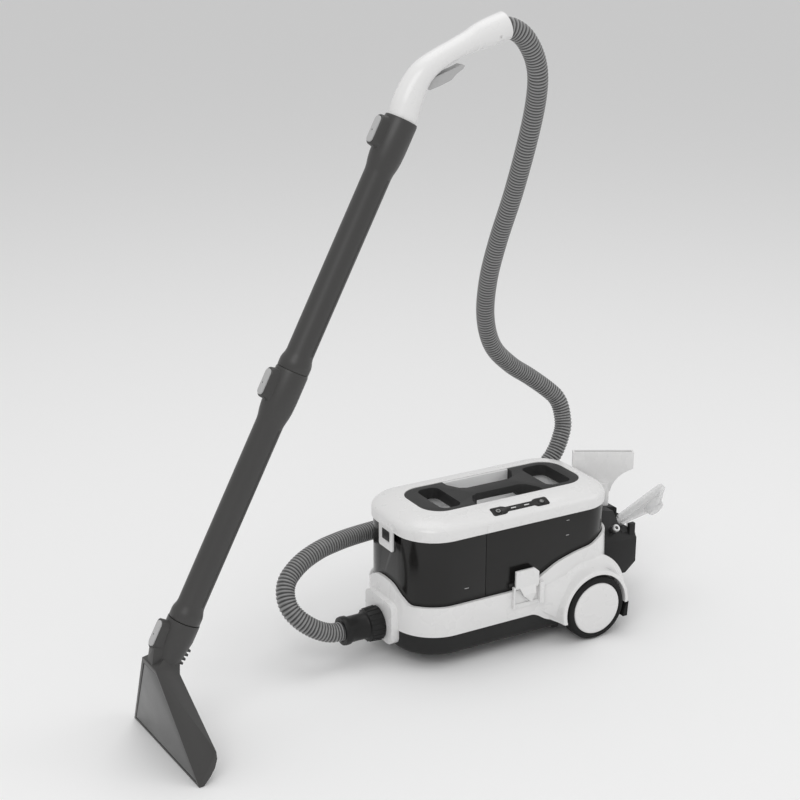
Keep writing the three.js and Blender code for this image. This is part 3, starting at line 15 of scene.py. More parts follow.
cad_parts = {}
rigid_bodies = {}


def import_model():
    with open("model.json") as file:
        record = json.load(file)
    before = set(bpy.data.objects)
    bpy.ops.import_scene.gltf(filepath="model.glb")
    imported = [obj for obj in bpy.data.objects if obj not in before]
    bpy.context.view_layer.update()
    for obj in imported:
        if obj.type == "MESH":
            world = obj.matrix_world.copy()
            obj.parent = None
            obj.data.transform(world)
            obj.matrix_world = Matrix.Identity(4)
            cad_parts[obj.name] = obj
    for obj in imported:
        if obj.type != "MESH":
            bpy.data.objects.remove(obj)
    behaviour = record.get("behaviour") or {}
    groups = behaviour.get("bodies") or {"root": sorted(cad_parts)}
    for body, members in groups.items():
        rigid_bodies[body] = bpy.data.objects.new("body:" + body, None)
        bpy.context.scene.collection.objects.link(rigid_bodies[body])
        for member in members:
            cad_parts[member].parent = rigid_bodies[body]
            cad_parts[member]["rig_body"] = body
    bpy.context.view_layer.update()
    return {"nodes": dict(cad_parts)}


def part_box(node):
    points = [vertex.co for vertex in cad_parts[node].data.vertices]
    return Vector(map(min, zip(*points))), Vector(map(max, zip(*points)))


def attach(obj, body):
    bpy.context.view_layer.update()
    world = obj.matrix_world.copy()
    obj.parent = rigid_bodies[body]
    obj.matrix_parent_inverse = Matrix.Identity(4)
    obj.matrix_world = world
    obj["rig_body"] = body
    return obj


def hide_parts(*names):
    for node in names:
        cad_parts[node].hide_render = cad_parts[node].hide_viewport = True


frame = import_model()

# %% Find the machine's own origin
WHEEL_X = 135.5
near_low, near_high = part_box("near_tyre")
far_low, far_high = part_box("far_tyre")
ORIGIN = Vector((
    (near_low.x + near_high.x) / 2 - WHEEL_X / 1000,
    (near_low.y + far_high.y) / 2,
    0.0,
))


def mm(x, y, z):
    """A point given in the machine's millimetres, in the frame's metres."""
    return ORIGIN + Vector((x, y, z)) / 1000


print("machine origin in the frame:", [round(v, 4) for v in ORIGIN])

# %% [markdown]
# The camera looks at the machine from the hose port's end, a little under twenty degrees
# above level. Its turn comes from three axes worked out from two angles.

# %% Camera
TURN = math.radians(29.5)
DIP = math.radians(18.7)
CAMERA_PLACE = mm(-1333.0, -2050.8, 1240.7)
LENS_MM = 69.75
SENSOR_MM = 36
FAR_CLIP = 120
right = Vector((math.cos(TURN), -math.sin(TURN), 0))
ahead = Vector((math.sin(TURN) * math.cos(DIP), math.cos(TURN) * math.cos(DIP), -math.sin(DIP)))
above = right.cross(ahead)
camera_data = bpy.data.cameras.new("camera")
camera_data.sensor_width = SENSOR_MM
camera_data.lens = LENS_MM
camera_data.clip_end = FAR_CLIP
camera = bpy.data.objects.new("camera", camera_data)
facing = Matrix((right, above, -ahead)).transposed().to_4x4()
camera.matrix_world = Matrix.Translation(CAMERA_PLACE) @ facing
bpy.context.scene.collection.objects.link(camera)
bpy.context.scene.camera = camera
print("lens:", round(camera_data.lens, 2), "mm")

# %% [markdown]
# Shader maths reads best as a sum. A small class wraps a socket, so that a plus or a times
# sign adds the matching Math node, and one method adds any other node.

# %% Shader sums
class Flow:
    """A socket that can stand in a Python sum."""

    def __init__(self, paint, socket):
        self.paint = paint
        self.socket = socket

    def _sum(self, operation, first, second):
        node = self.paint.add("ShaderNodeMath", {"operation": operation}, {0: first, 1: second})
        return self.paint.out(node, 0)

    def __add__(self, other):
        return self._sum("ADD", self, other)

    def __rsub__(self, other):
        return self._sum("SUBTRACT", other, self)

    def __mul__(self, other):
        return self._sum("MULTIPLY", self, other)

    def __pow__(self, other):
        return self._sum("POWER", self, other)

    __radd__ = __add__
    __rmul__ = __mul__


class Paint:
    """One material: its nodes, and the shader that they feed."""

    def __init__(self, name, **fixed):
        self.material = bpy.data.materials.new(name)
        self.material.use_nodes = True
        self.tree = self.material.node_tree
        self.shader = self.tree.nodes["Principled BSDF"]
        for socket, value in fixed.items():
            self.shader.inputs[socket.replace("_", " ")].default_value = value

    def feed(self, socket, value):
        if isinstance(value, Flow):
            self.tree.links.new(value.socket, socket)
        else:
            socket.default_value = value

    def add(self, kind, settings=None, sockets=None):
        node = self.tree.nodes.new(kind)
        for key, value in (settings or {}).items():
            if key == "stops":
                while len(node.color_ramp.elements) < len(value):
                    node.color_ramp.elements.new(0.5)
                for element, (place, colour) in zip(node.color_ramp.elements, value):
                    element.position = place
                    element.color = colour
            else:
                setattr(node, key, value)
        for key, value in (sockets or {}).items():
            self.feed(node.inputs[key], value)
        return node

    def out(self, node, name):
        return Flow(self, node.outputs[name])

    def set(self, name, value):
        self.feed(self.shader.inputs[name], value)

    def noise(self, place, scale, detail):
        sockets = {"Vector": place, "Scale": scale, "Detail": detail}
        return self.out(self.add("ShaderNodeTexNoise", {}, sockets), "Fac")


def grey(level, warmth=0.0):
    """A neutral colour, a little warmer or cooler."""
    return (level * (1 + warmth), level, level * (1 - warmth), 1)


# %% [markdown]
# Moulded plastic is nearly one colour, but never quite: it has faint cloudiness, a fine
# spark-eroded grain, and patches where hands have polished or dust has dulled it. Three noise
# textures in object coordinates give these, each at its own scale.

# %% Moulded plastic
def plastic(name, colour, roughness, grain=600, bump=0.05, cloud=0.05, handling=0.06, **fixed):
    paint = Paint(name, **fixed)
    place = paint.out(paint.add("ShaderNodeTexCoord"), "Object")
    clouds = paint.noise(place, 9, 4)
    rubs = paint.noise(place, 34, 6)
    fine = paint.noise(place, grain, 2)
    dark = tuple(c * (1 - cloud) for c in colour[:3]) + (1,)
    pale = tuple(min(1, c * (1 + cloud)) for c in colour[:3]) + (1,)
    mix = paint.add("ShaderNodeMix", {"data_type": "RGBA"}, {0: clouds, 6: dark, 7: pale})
    paint.set("Base Color", paint.out(mix, 2))
    paint.set("Roughness", rubs * (2 * handling) + (roughness - handling))
    relief = paint.add("ShaderNodeBump", {}, {"Strength": bump, "Distance": 0.0004, "Height": fine})
    paint.set("Normal", paint.out(relief, "Normal"))
    return paint


WHITE = plastic("white_gloss", grey(0.8, 0.004), 0.28, grain=900, bump=0.02, cloud=0.012, Coat_Weight=0.2)
BLACK = plastic("black_satin", grey(0.013), 0.42, grain=1400, bump=0.12, cloud=0.12, Specular_IOR_Level=0.3)
BLACK_DULL = plastic(
    "black_matte", grey(0.01), 0.66, grain=900, bump=0.2, cloud=0.15, Specular_IOR_Level=0.25)
TUBE_GREY = plastic(
    "dark_grey", grey(0.05, 0.02), 0.38, grain=1300, bump=0.06, cloud=0.06, Specular_IOR_Level=0.4)
HANDLE_GREY = plastic(
    "handle_grey", grey(0.028), 0.5, grain=1300, bump=0.15, cloud=0.08, Specular_IOR_Level=0.3)
PALE = plastic("pale_grey", grey(0.46), 0.4, grain=1200, bump=0.06, cloud=0.03)
LINER = plastic("liner_grey", grey(0.8), 0.45, grain=900, bump=0.06, cloud=0.03)
GREEN = plastic("board_green", (0.02, 0.13, 0.05, 1), 0.5, grain=700, bump=0.1, cloud=0.2)
MARK = plastic("print_white", grey(0.62), 0.5, grain=900, bump=0.02)
LAMP = plastic("lamp_white", grey(0.8), 0.3, grain=700, bump=0.02)
SMOKE = plastic(
    "smoky_tank", grey(0.013, 0.04), 0.16, grain=300, bump=0.02, cloud=0.25, Specular_IOR_Level=0.35)
SMOKE.shader.inputs["Alpha"].default_value = 0.97
PANEL = plastic("smoky_panel", grey(0.1), 0.34, grain=500, bump=0.03)
CLEAR = plastic("clear_plastic", grey(0.7), 0.12, grain=300, bump=0.03, cloud=0.03)
CLEAR.shader.inputs["Alpha"].default_value = 0.42
print("materials:", len(bpy.data.materials))

# %% [markdown]
# Brushed steel shows fine lines across its length, so its roughness comes from a noise that
# is stretched far along one axis.

# %% Steel
def brushed(name, colour, roughness):
    paint = Paint(name, Metallic=1.0)
    place = paint.out(paint.add("ShaderNodeTexCoord"), "Object")
    stretched = paint.add("ShaderNodeMapping", {}, {"Vector": place, "Scale": (30, 900, 900)})
    lines = paint.noise(paint.out(stretched, 0), 1, 3)
    paint.set("Base Color", colour)
    paint.set("Roughness", lines * 0.2 + (roughness - 0.1))
    relief = paint.add("ShaderNodeBump", {}, {"Strength": 0.1, "Distance": 0.0002, "Height": lines})
    paint.set("Normal", paint.out(relief, "Normal"))
    return paint


STEEL = brushed("steel", grey(0.58), 0.3)

# %% [markdown]
# Mesh helpers. A round piece is a turned profile, a body is a loft through rounded outlines,
# a flat piece is a slab, and a tapered block is the hull of a few points. Holes are cut with
# the Manifold solver, and a fine bevel then catches the light on every edge.

# %% Mesh helpers
def piece(name, verts, faces, paint):
    mesh = bpy.data.meshes.new(name)
    mesh.from_pydata([tuple(v) for v in verts], [], faces)
    mesh.materials.append(paint.material)
    obj = bpy.data.objects.new(name, mesh)
    bpy.context.scene.collection.objects.link(obj)
    outward(obj)
    return obj


def outward(obj):
    """Turns every face outwards."""
    work = bmesh.new()
    work.from_mesh(obj.data)
    bmesh.ops.recalc_face_normals(work, faces=work.faces)
    work.to_mesh(obj.data)
    work.free()


def settle(obj):
    """Turns the modifiers' result into a plain mesh."""
    bpy.context.view_layer.update()
    graph = bpy.context.evaluated_depsgraph_get()
    mesh = bpy.data.meshes.new_from_object(obj.evaluated_get(graph))
    obj.modifiers.clear()
    old = obj.data
    obj.data = mesh
    bpy.data.meshes.remove(old)
    mesh.name = obj.name
    return obj


def combine(obj, tool, operation):
    step = obj.modifiers.new("combine", "BOOLEAN")
    step.object = tool
    step.operation = operation
    step.solver = "MANIFOLD"
    settle(obj)
    bpy.data.objects.remove(tool)
    return obj


def cut(obj, *tools):
    for tool in tools:
        combine(obj, tool, "DIFFERENCE")
    return obj


def join(obj, *others):
    for other in others:
        combine(obj, other, "UNION")
    return obj


def soften(obj, width=0.8, segments=3, angle=34):
    """Rounds the sharp edges and shades the rest smooth."""
    work = bmesh.new()
    work.from_mesh(obj.data)
    bmesh.ops.remove_doubles(work, verts=work.verts, dist=2e-5)
    bmesh.ops.dissolve_limit(work, angle_limit=math.radians(0.5), verts=work.verts, edges=work.edges)
    work.to_mesh(obj.data)
    work.free()
    if width:
        bevel = obj.modifiers.new("bevel", "BEVEL")
        bevel.width = width / 1000
        bevel.segments = segments
        bevel.limit_method = "ANGLE"
        bevel.angle_limit = math.radians(angle)
        bevel.miter_outer = "MITER_ARC"
        settle(obj)
    obj.data.shade_smooth()
    obj.data.set_sharp_from_angle(angle=math.radians(angle))
    return obj


def stands_for(obj, *nodes):
    """obj stands in these CAD nodes' place: it joins the first node's body, and the nodes are hidden."""
    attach(obj, frame["nodes"][nodes[0]]["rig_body"])
    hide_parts(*nodes)
    return obj


def spun(name, profile, place, paint, sides=96):
    """A solid of revolution about the place's own Z; profile points are (radius, height)."""
    verts = []
    rows = []
    for radius, height in profile:
        if radius < 1e-6:
            rows.append([len(verts)])
            verts.append(place @ (Vector((0, 0, height)) / 1000))
            continue
        rows.append(list(range(len(verts), len(verts) + sides)))
        for k in range(sides):
            a = 2 * math.pi * k / sides
            verts.append(place @ (Vector((radius * math.cos(a), radius * math.sin(a), height)) / 1000))
    faces = []
    closed = profile[0][0] > 1e-6
    for i in range(len(rows) if closed else len(rows) - 1):
        low, high = rows[i], rows[(i + 1) % len(rows)]
        for k in range(sides):
            n = (k + 1) % sides
            corners = [low[k % len(low)], low[n % len(low)], high[n % len(high)], high[k % len(high)]]
            face = list(dict.fromkeys(corners))
            if len(face) > 2:
                faces.append(face)
    return piece(name, verts, faces, paint)


def rod(name, radius, low, high, place, paint, sides=96):
    """A plain cylinder about the place's own Z."""
    return spun(name, [(0, low), (radius, low), (radius, high), (0, high)], place, paint, sides)


def loft(name, rings, paint):
    """A closed skin through rings of equal length, each a list of points in metres."""
    count = len(rings[0])
    verts = [p for ring in rings for p in ring]
    faces = [list(range(count))[::-1], [len(verts) - count + k for k in range(count)]]
    for i in range(len(rings) - 1):
        for k in range(count):
            n = (k + 1) % count
            faces.append([i * count + k, i * count + n, (i + 1) * count + n, (i + 1) * count + k])
    return piece(name, verts, faces, paint)


def slab(name, outline, low, high, plane, paint):
    """An outline in one plane, run straight across it, in the machine's millimetres."""
    put = {
        "xy": lambda a, b, c: mm(a, b, c),
        "xz": lambda a, b, c: mm(a, c, b),
        "yz": lambda a, b, c: mm(c, a, b),
    }[plane]
    return loft(name, [[put(a, b, level) for a, b in outline] for level in (low, high)], paint)


def block(name, x, y, z, paint):
    outline = [(x[0], y[0]), (x[1], y[0]), (x[1], y[1]), (x[0], y[1])]
    return slab(name, outline, z[0], z[1], "xy", paint)


def hull(name, points, paint):
    work = bmesh.new()
    for p in points:
        work.verts.new(p)
    found = bmesh.ops.convex_hull(work, input=work.verts)
    spare = [v for v in work.verts if not v.link_faces]
    bmesh.ops.delete(work, geom=spare, context="VERTS")
    mesh = bpy.data.meshes.new(name)
    work.to_mesh(mesh)
    work.free()
    mesh.materials.append(paint.material)
    obj = bpy.data.objects.new(name, mesh)
    bpy.context.scene.collection.objects.link(obj)
    outward(obj)
    return obj


def along(axis_from, axis_to):
    """A place whose own Z runs from one point to the other, in metres."""
    direction = (axis_to - axis_from).normalized()
    return Matrix.Translation(axis_from) @ direction.to_track_quat("Z", "Y").to_matrix().to_4x4()


def smooth_line(points, per_span):
    """A Catmull-Rom line through points of any dimension."""
    line = []
    for i in range(len(points) - 1):
        a, b, c, d = (points[min(max(i + k, 0), len(points) - 1)] for k in (-1, 0, 1, 2))
        for s in range(per_span):
            t = s / per_span
            line.append(tuple(
                0.5 * (2 * q + (r - p) * t + (2 * p - 5 * q + 4 * r - w) * t * t
                       + (3 * q - p - 3 * r + w) * t ** 3)
                for p, q, r, w in zip(a, b, c, d)
            ))
    line.append(tuple(points[-1]))
    return line


def rounded(x, y, half_x, half_y, radius, steps=10):
    """A rectangle with round corners."""
    outline = []
    for cx, cy, start in ((1, 1, 0), (-1, 1, 90), (-1, -1, 180), (1, -1, 270)):
        for i in range(steps + 1):
            a = math.radians(start + 90 * i / steps)
            outline.append((
                x + cx * (half_x - radius) + radius * math.cos(a),
                y + cy * (half_y - radius) + radius * math.sin(a),
            ))
    return outline


BODY_LENGTH, BODY_WIDTH = 199.5, 103  # from the middle to each end and side
FRONT_CORNER, REAR_CORNER = 71, 64


def body_outline(inset, steps=18):
    """The body's plan outline, drawn smaller by an inset."""
    length, width = BODY_LENGTH - inset, BODY_WIDTH - inset
    rear, front = max(REAR_CORNER - inset, 1), max(FRONT_CORNER - inset, 1)
    corners = (
        (length - rear, width - rear, 0, rear), (front - length, width - front, 90, front),
        (front - length, front - width, 180, front), (length - rear, rear - width, 270, rear),
    )
    outline = []
    for x, y, start, radius in corners:
        for i in range(steps + 1):
            a = math.radians(start + 90 * i / steps)
            outline.append((x + radius * math.cos(a), y + radius * math.sin(a)))
    return outline


def body_ring(inset, z):
    return [mm(x, y, z) for x, y in body_outline(inset)]


def body_slab(name, inset, low, high, paint):
    return loft(name, [body_ring(inset, low), body_ring(inset, high)], paint)


def moulded(node, paint, width=0.8, segments=3, angle=34):
    """A CAD node's own shape with welded corners and rounded edges."""
    obj = bpy.data.objects.new(node + "_skin", frame["nodes"][node].data.copy())
    bpy.context.scene.collection.objects.link(obj)
    obj.data.materials.clear()
    obj.data.materials.append(paint.material)
    soften(obj, width, segments, angle)
    return stands_for(obj, node)


# %% [markdown]
# The hose is a spiral-ribbed tube. Its ribs follow a path, which is what Geometry Nodes do
# well: the route is resampled finely, the radius rises and falls once per rib, and a circle is
# swept along it. The rib's height is kept as an attribute, so that the paint can put painted
# shade in the grooves and a painted highlight on the crests.

# %% Hose paint
def hose_paint():
    paint = Paint("hose_ribs", Coat_Weight=0.15)
    place = paint.out(paint.add("ShaderNodeTexCoord"), "Object")
    rib = paint.out(paint.add("ShaderNodeAttribute", {"attribute_name": "rib"}), "Fac")
    dust = paint.out(paint.add("ShaderNodeTexNoise", {}, {"Vector": place, "Scale": 60, "Detail": 5}), "Fac")
    # Painted shade and highlight: the rib height sets the colour, near-black painted shade in the grooves and
    # a grey painted highlight on the crests. Real dust then greys the result a little in patches.
    crest = paint.add("ShaderNodeMix", {"data_type": "RGBA"}, {0: rib ** 1.6, 6: grey(0.012), 7: grey(0.3)})
    layers = {0: dust * 0.12, 6: paint.out(crest, 2), 7: grey(0.3)}
    dust_and_painted_shade = paint.add("ShaderNodeMix", {"data_type": "RGBA"}, layers)
    paint.set("Base Color", paint.out(dust_and_painted_shade, 2))
    paint.set("Roughness", 0.46 - rib * 0.16 + dust * 0.1)
    relief = paint.add("ShaderNodeBump", {}, {"Strength": 0.08, "Distance": 0.0003, "Height": dust})
    paint.set("Normal", paint.out(relief, "Normal"))
    return paint


# %% Hose route and ribs
HOSE_DIAMETER = 0.0322  # metres
RIB_PITCH = 0.0056
RIB_DEPTH = 0.0018
STEPS_PER_RIB = 8
HOSE_SIDES = 28
HOSE_ROUTE = (
    (-266, 0, 58.5), (-286, 0, 58.8), (-307, -1, 62), (-333, 1, 75), (-355, 9, 93), (-367, 21, 111),
    (-367, 36, 129),
    (-357, 50, 145), (-338, 61, 157), (-313, 72, 166), (-279, 84, 172), (-245, 95, 173), (-211, 107, 171),
    (-165, 121, 167), (-100, 132, 164), (-30, 137, 163), (50, 139, 166), (120, 137, 175), (180, 134, 194),
    (225, 135, 227), (252, 144, 268), (258, 153, 297), (252, 160, 325), (235, 165, 345), (194, 168, 377),
    (148, 166, 409), (103, 155, 453), (74, 135, 515), (59, 105, 589), (53, 68, 665), (48, 20, 750),
    (39, -26, 831), (29, -63, 899), (16, -89, 947), (3, -101, 978), (-14, -109, 1002), (-31, -113, 1019),
    (-50, -114, 1029), (-66, -114, 1031), (-80, -114, 1028),
)
hose_line = [mm(*p) for p in smooth_line(HOSE_ROUTE, 6)]


def rib_tree(paint):
    """Sweeps a ribbed tube along a curve."""
    tree = bpy.data.node_groups.new("ribbed_tube", "GeometryNodeTree")
    ids = {}
    for title, kind, value in (
        ("Route", "NodeSocketGeometry", None), ("Radius", "NodeSocketFloat", HOSE_DIAMETER / 2),
        ("Rib Depth", "NodeSocketFloat", RIB_DEPTH), ("Pitch", "NodeSocketFloat", RIB_PITCH),
        ("Step", "NodeSocketFloat", RIB_PITCH / STEPS_PER_RIB),
    ):
        socket = tree.interface.new_socket(title, in_out="INPUT", socket_type=kind)
        if value is not None:
            socket.default_value = value
        ids[title] = socket.identifier
    tree.interface.new_socket("Tube", in_out="OUTPUT", socket_type="NodeSocketGeometry")
    made = tree.nodes
    link = tree.links.new
    given = made.new("NodeGroupInput")
    result = made.new("NodeGroupOutput")

    def maths(operation, a, b=None):
        node = made.new("ShaderNodeMath")
        node.operation = operation
        for k, value in enumerate((a, b)):
            if isinstance(value, (int, float)):
                node.inputs[k].default_value = value
            elif value is not None:
                link(value, node.inputs[k])
        return node.outputs[0]

    even = made.new("GeometryNodeResampleCurve")
    even.mode = "LENGTH"
    link(given.outputs["Route"], even.inputs["Curve"])
    link(given.outputs["Step"], even.inputs["Length"])
    walked = made.new("GeometryNodeSplineParameter").outputs["Length"]
    wave = maths("COSINE", maths("MULTIPLY", maths("DIVIDE", walked, given.outputs["Pitch"]), 2 * math.pi))
    crest = maths("POWER", maths("MULTIPLY", maths("ADD", wave, 1.0), 0.5), 0.6)
    keep = made.new("GeometryNodeStoreNamedAttribute")
    keep.data_type = "FLOAT"
    keep.domain = "POINT"
    keep.inputs["Name"].default_value = "rib"
    link(even.outputs["Curve"], keep.inputs["Geometry"])
    link(crest, keep.inputs["Value"])
    radius = maths("SUBTRACT", given.outputs["Radius"],
                   maths("MULTIPLY", given.outputs["Rib Depth"], maths("SUBTRACT", 1.0, crest)))
    ring = made.new("GeometryNodeCurvePrimitiveCircle")
    ring.inputs["Resolution"].default_value = HOSE_SIDES
    ring.inputs["Radius"].default_value = 1.0
    sweep = made.new("GeometryNodeCurveToMesh")
    link(keep.outputs["Geometry"], sweep.inputs["Curve"])
    link(ring.outputs["Curve"], sweep.inputs["Profile Curve"])
    link(radius, sweep.inputs["Scale"])
    sweep.inputs["Fill Caps"].default_value = True
    solid = made.new("GeometryNodeRealizeInstances")
    link(sweep.outputs["Mesh"], solid.inputs["Geometry"])
    colour = made.new("GeometryNodeSetMaterial")
    colour.inputs["Material"].default_value = paint.material
    link(solid.outputs["Geometry"], colour.inputs["Geometry"])
    link(colour.outputs["Geometry"], result.inputs["Tube"])
    return tree, ids


def ribbed_hose():
    curve = bpy.data.curves.new("hose_route", "CURVE")
    curve.dimensions = "3D"
    spline = curve.splines.new("POLY")
    spline.points.add(len(hose_line) - 1)
    for point, place in zip(spline.points, hose_line):
        point.co = (*place, 1)
    route = bpy.data.objects.new("hose_route", curve)
    bpy.context.scene.collection.objects.link(route)
    tree, ids = rib_tree(hose_paint())
    nodes = route.modifiers.new("ribs", "NODES")
    nodes.node_group = tree
    nodes[ids["Pitch"]] = RIB_PITCH
    bpy.context.view_layer.update()
    graph = bpy.context.evaluated_depsgraph_get()
    mesh = bpy.data.meshes.new_from_object(route.evaluated_get(graph))
    bpy.data.objects.remove(route)
    hose = bpy.data.objects.new("ribbed_hose", mesh)
    bpy.context.scene.collection.objects.link(hose)
    outward(hose)
    hose.data.shade_smooth()
    return stands_for(hose, "hose")


hose = ribbed_hose()

# %% [markdown]
# The hose plugs into the port with a stepped fitting: a gripped ring, a long sleeve and a
# collar that takes the hose. It is turned, because every step of it is round.

# %% Hose fitting
PORT_Z = 58.5
PORT_FACE = -214.5
GRIP_RIBS = 18
port = along(mm(0, 0, PORT_Z), mm(-1, 0, PORT_Z))
FITTING_PROFILE = (  # radius, distance out from the port's face
    (14, -22), (20.9, -22), (20.9, 0.4), (28.4, 0.4), (28.6, 3), (27.8, 16), (26.6, 25), (23, 26),
    (21.8, 28), (21.8, 56), (24.2, 60), (24.4, 66), (23.6, 70), (17.1, 70), (17.1, 48), (14, 47.9),
)
fitting = spun("hose_fitting", [(radius, out - PORT_FACE) for radius, out in FITTING_PROFILE], port, BLACK)


def grip_rib(turn):
    """One low rib along the gripped ring, a little lower at its far end."""
    rings = []
    for out in (2, 24):
        crest = 30 - out * 0.07
        section = ((26, -1.3), (crest, -0.9), (crest, 0.9), (26, 1.3))
        rings.append([port @ turn @ (Vector((r, w, out - PORT_FACE)) / 1000) for r, w in section])
    return loft("rib", rings, BLACK)


for k in range(GRIP_RIBS):
    join(fitting, grip_rib(Matrix.Rotation(2 * math.pi * k / GRIP_RIBS, 4, "Z")))
soften(fitting, 0.5, 2)
stands_for(fitting, "hose_connector")
print("fitting faces:", len(fitting.data.polygons))

# %% [markdown]
# The top cover is a domed lid. A loft through the rounded outline gives its upright band and
# its quarter-round crown in one surface. The handle opening, the control slot and the
# button's window are then cut through it.

# %% Top cover
RIM_Z, BAND, CROWN_RISE, CROWN_REACH, COVER_WALL = 226, 14, 20, 50, 4.5
TOP_Z = RIM_Z + BAND + CROWN_RISE
CROWN_STEPS = 14


def crown_rings(inset, drop, lip):
    """The dome's outline at each height; inset and drop give its inner side."""
    low, high = RIM_Z - drop, RIM_Z + BAND - drop
    rings = [body_ring(inset + lip, low), body_ring(inset, low + lip), body_ring(inset, high)]
    for i in range(1, CROWN_STEPS + 1):
        a = math.pi / 2 * i / CROWN_STEPS
        rings.append(body_ring(inset + CROWN_REACH * (1 - math.cos(a)), high + CROWN_RISE * math.sin(a)))
    return rings


HANDLE_X, HANDLE_LENGTH, HANDLE_WIDTH, GRIP_LENGTH = 8, 156, 57, 66
HANDLE_CORNER = 38


def handle_end(side, clearance, steps=14):
    """The outline of one end plate of the carry handle, with two round outer corners."""
    outer = HANDLE_X + side * (HANDLE_LENGTH + clearance)
    inner = HANDLE_X + side * GRIP_LENGTH
    half = HANDLE_WIDTH + clearance
    points = [(inner, side * half), (inner, -side * half)]
    for start, centre in ((-90, HANDLE_CORNER - half), (0, half - HANDLE_CORNER)):
        for i in range(steps + 1):
            a = math.radians(start + 90 * i / steps)
            points.append((
                outer + side * HANDLE_CORNER * (math.cos(a) - 1),
                side * (centre + HANDLE_CORNER * math.sin(a)),
            ))
    return points


def recess_opening(clearance, low, high):
    reach = GRIP_LENGTH + 8
    half = HANDLE_WIDTH + clearance
    whole = block("opening", (HANDLE_X - reach, HANDLE_X + reach), (-half, half), (low, high), BLACK)
    for side in (-1, 1):
        join(whole, slab("end", handle_end(side, clearance), low, high, "xy", BLACK))
    return whole


STRIP_TILT = math.radians(20)
STRIP = Matrix.Translation(mm(5.5, -87.5, 254.5)) @ Matrix.Rotation(STRIP_TILT, 4, "X")


def strip_outline(grow):
    """A bone shape: two broad ends with round corners, and a narrower waist."""
    half, wide, end, r = 55.5 + grow, 9 + grow, 26, 4
    waist = wide - 3.5
    neck = half - end
    quarter = smooth_line([(neck + r, wide), (neck, wide - 0.8), (neck - r, waist), (neck - 3 * r, waist)], 5)
    corner = []
    for k in range(11):
        a = math.radians(9 * k)
        corner.append((half - r + r * math.cos(a), wide - r + r * math.sin(a)))
    right = corner + quarter
    upper = right + [(-x, y) for x, y in reversed(right)]
    return upper + [(x, -y) for x, y in reversed(upper)]


def on_strip(name, outline, low, high, paint):
    """An outline on the strip's own slope, between two heights above it."""
    rings = [[STRIP @ (Vector((x, y, z)) / 1000) for x, y in outline] for z in (low, high)]
    return loft(name, rings, paint)


cover = loft("domed_cover", crown_rings(0, 0, 0.8), WHITE)
cut(cover, loft("inside", crown_rings(COVER_WALL, COVER_WALL, 0.1), WHITE))
tongue = slab("tongue", rounded(0, 211, 23, 21, 4), -200, -197, "yz", WHITE)
join(cover, tongue)
cut(
    cover,
    slab("window", rounded(0, 213.5, 13, 9.5, 2.5), -206, -191, "yz", WHITE),
    on_strip("slot", strip_outline(0.3), -8, 12, WHITE),
    recess_opening(0.3, TOP_Z - 40, TOP_Z + 5),
)
for side in (-1, 1):
    wall = side * (BODY_WIDTH + 0.5)
    cut(cover, block("seam", (-67.4, -66.8), (wall - 1, wall + 1), (RIM_Z - 1, RIM_Z + BAND), WHITE))
soften(cover, 0.7, 3)
stands_for(cover, "top_cover")
print("cover faces:", len(cover.data.polygons))

# %% [markdown]
# The carry handle is a flush moulding with two finger holes and a bar, over a pale liner.
# Both keep their CAD shape and get soft edges here.

# %% Carry handle and its liner
moulded("recess_tray", LINER, 0.6, 2)
moulded("carry_handle", HANDLE_GREY, 1.8, 4)

# %% [markdown]
# The control strip is a glossy black bone-shaped inlay with a button at each end. Its signs
# are plain ones: a broken ring with a bar, and a ring with a dot.

# %% Control strip and signs
moulded("control_strip", SMOKE, 0.35, 2)
moulded("power_button", SMOKE, 0.4, 2)
moulded("mode_button", SMOKE, 0.4, 2)
moulded("power_light", LAMP, 0.1, 1)
moulded("mode_light", LAMP, 0.1, 1)
moulded("release_button", BLACK, 0.8, 3)


BUTTON_X = 43  # both buttons' distance from the strip's middle
SIGN_LOW, SIGN_HIGH = 0.62, 0.74


def sign_ring(name, x, radius, width, gap, body):
    """A flat ring that is open at its top by a gap, in degrees."""
    verts, faces = [], []
    steps = 28
    for k in range(steps + 1):
        a = math.radians(90 + gap + (360 - 2 * gap) * k / steps)
        for r in (radius, radius + width):
            for z in (SIGN_LOW, SIGN_HIGH):
                verts.append(STRIP @ (Vector((x + r * math.cos(a), r * math.sin(a), z)) / 1000))
    for k in range(steps):
        a, b = 4 * k, 4 * k + 4
        for i, j in ((0, 1), (1, 3), (3, 2), (2, 0)):
            faces.append([a + i, b + i, b + j, a + j])
    end = 4 * steps
    faces += [[0, 1, 3, 2], [end, end + 2, end + 3, end + 1]]
    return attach(piece(name, verts, faces, MARK), body)


def sign_bar(name, x, y, half_x, half_y, body):
    outline = rounded(x, y, half_x, half_y, min(half_x, half_y) * 0.9, 4)
    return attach(on_strip(name, outline, SIGN_LOW, SIGN_HIGH, MARK), body)


sign_ring("power_sign_ring", -BUTTON_X, 3.0, 0.7, 28, "power_key")
sign_bar("power_sign_bar", -BUTTON_X, 2.6, 0.4, 1.7, "power_key")
sign_ring("mode_sign_ring", BUTTON_X, 2.4, 0.6, 2, "mode_key")
sign_bar("mode_sign_bar", BUTTON_X, 0, 0.9, 0.9, "mode_key")

# %% [markdown]
# The two tanks are smoked plastic with thin walls. Each is the body outline run upright, cut
# below by the slope of the machinery bay and hollowed the same way.

# %% Tanks
SEAM_X, TANK_LOW, TANK_HIGH, TANK_INSET, TANK_WALL = -67, 97, 225.7, 3, 2.5
UNDERSIDE = ((-230, 0), (20, 0), (45, 16), (76, 33), (112, 44), (150, 52), (230, 60))


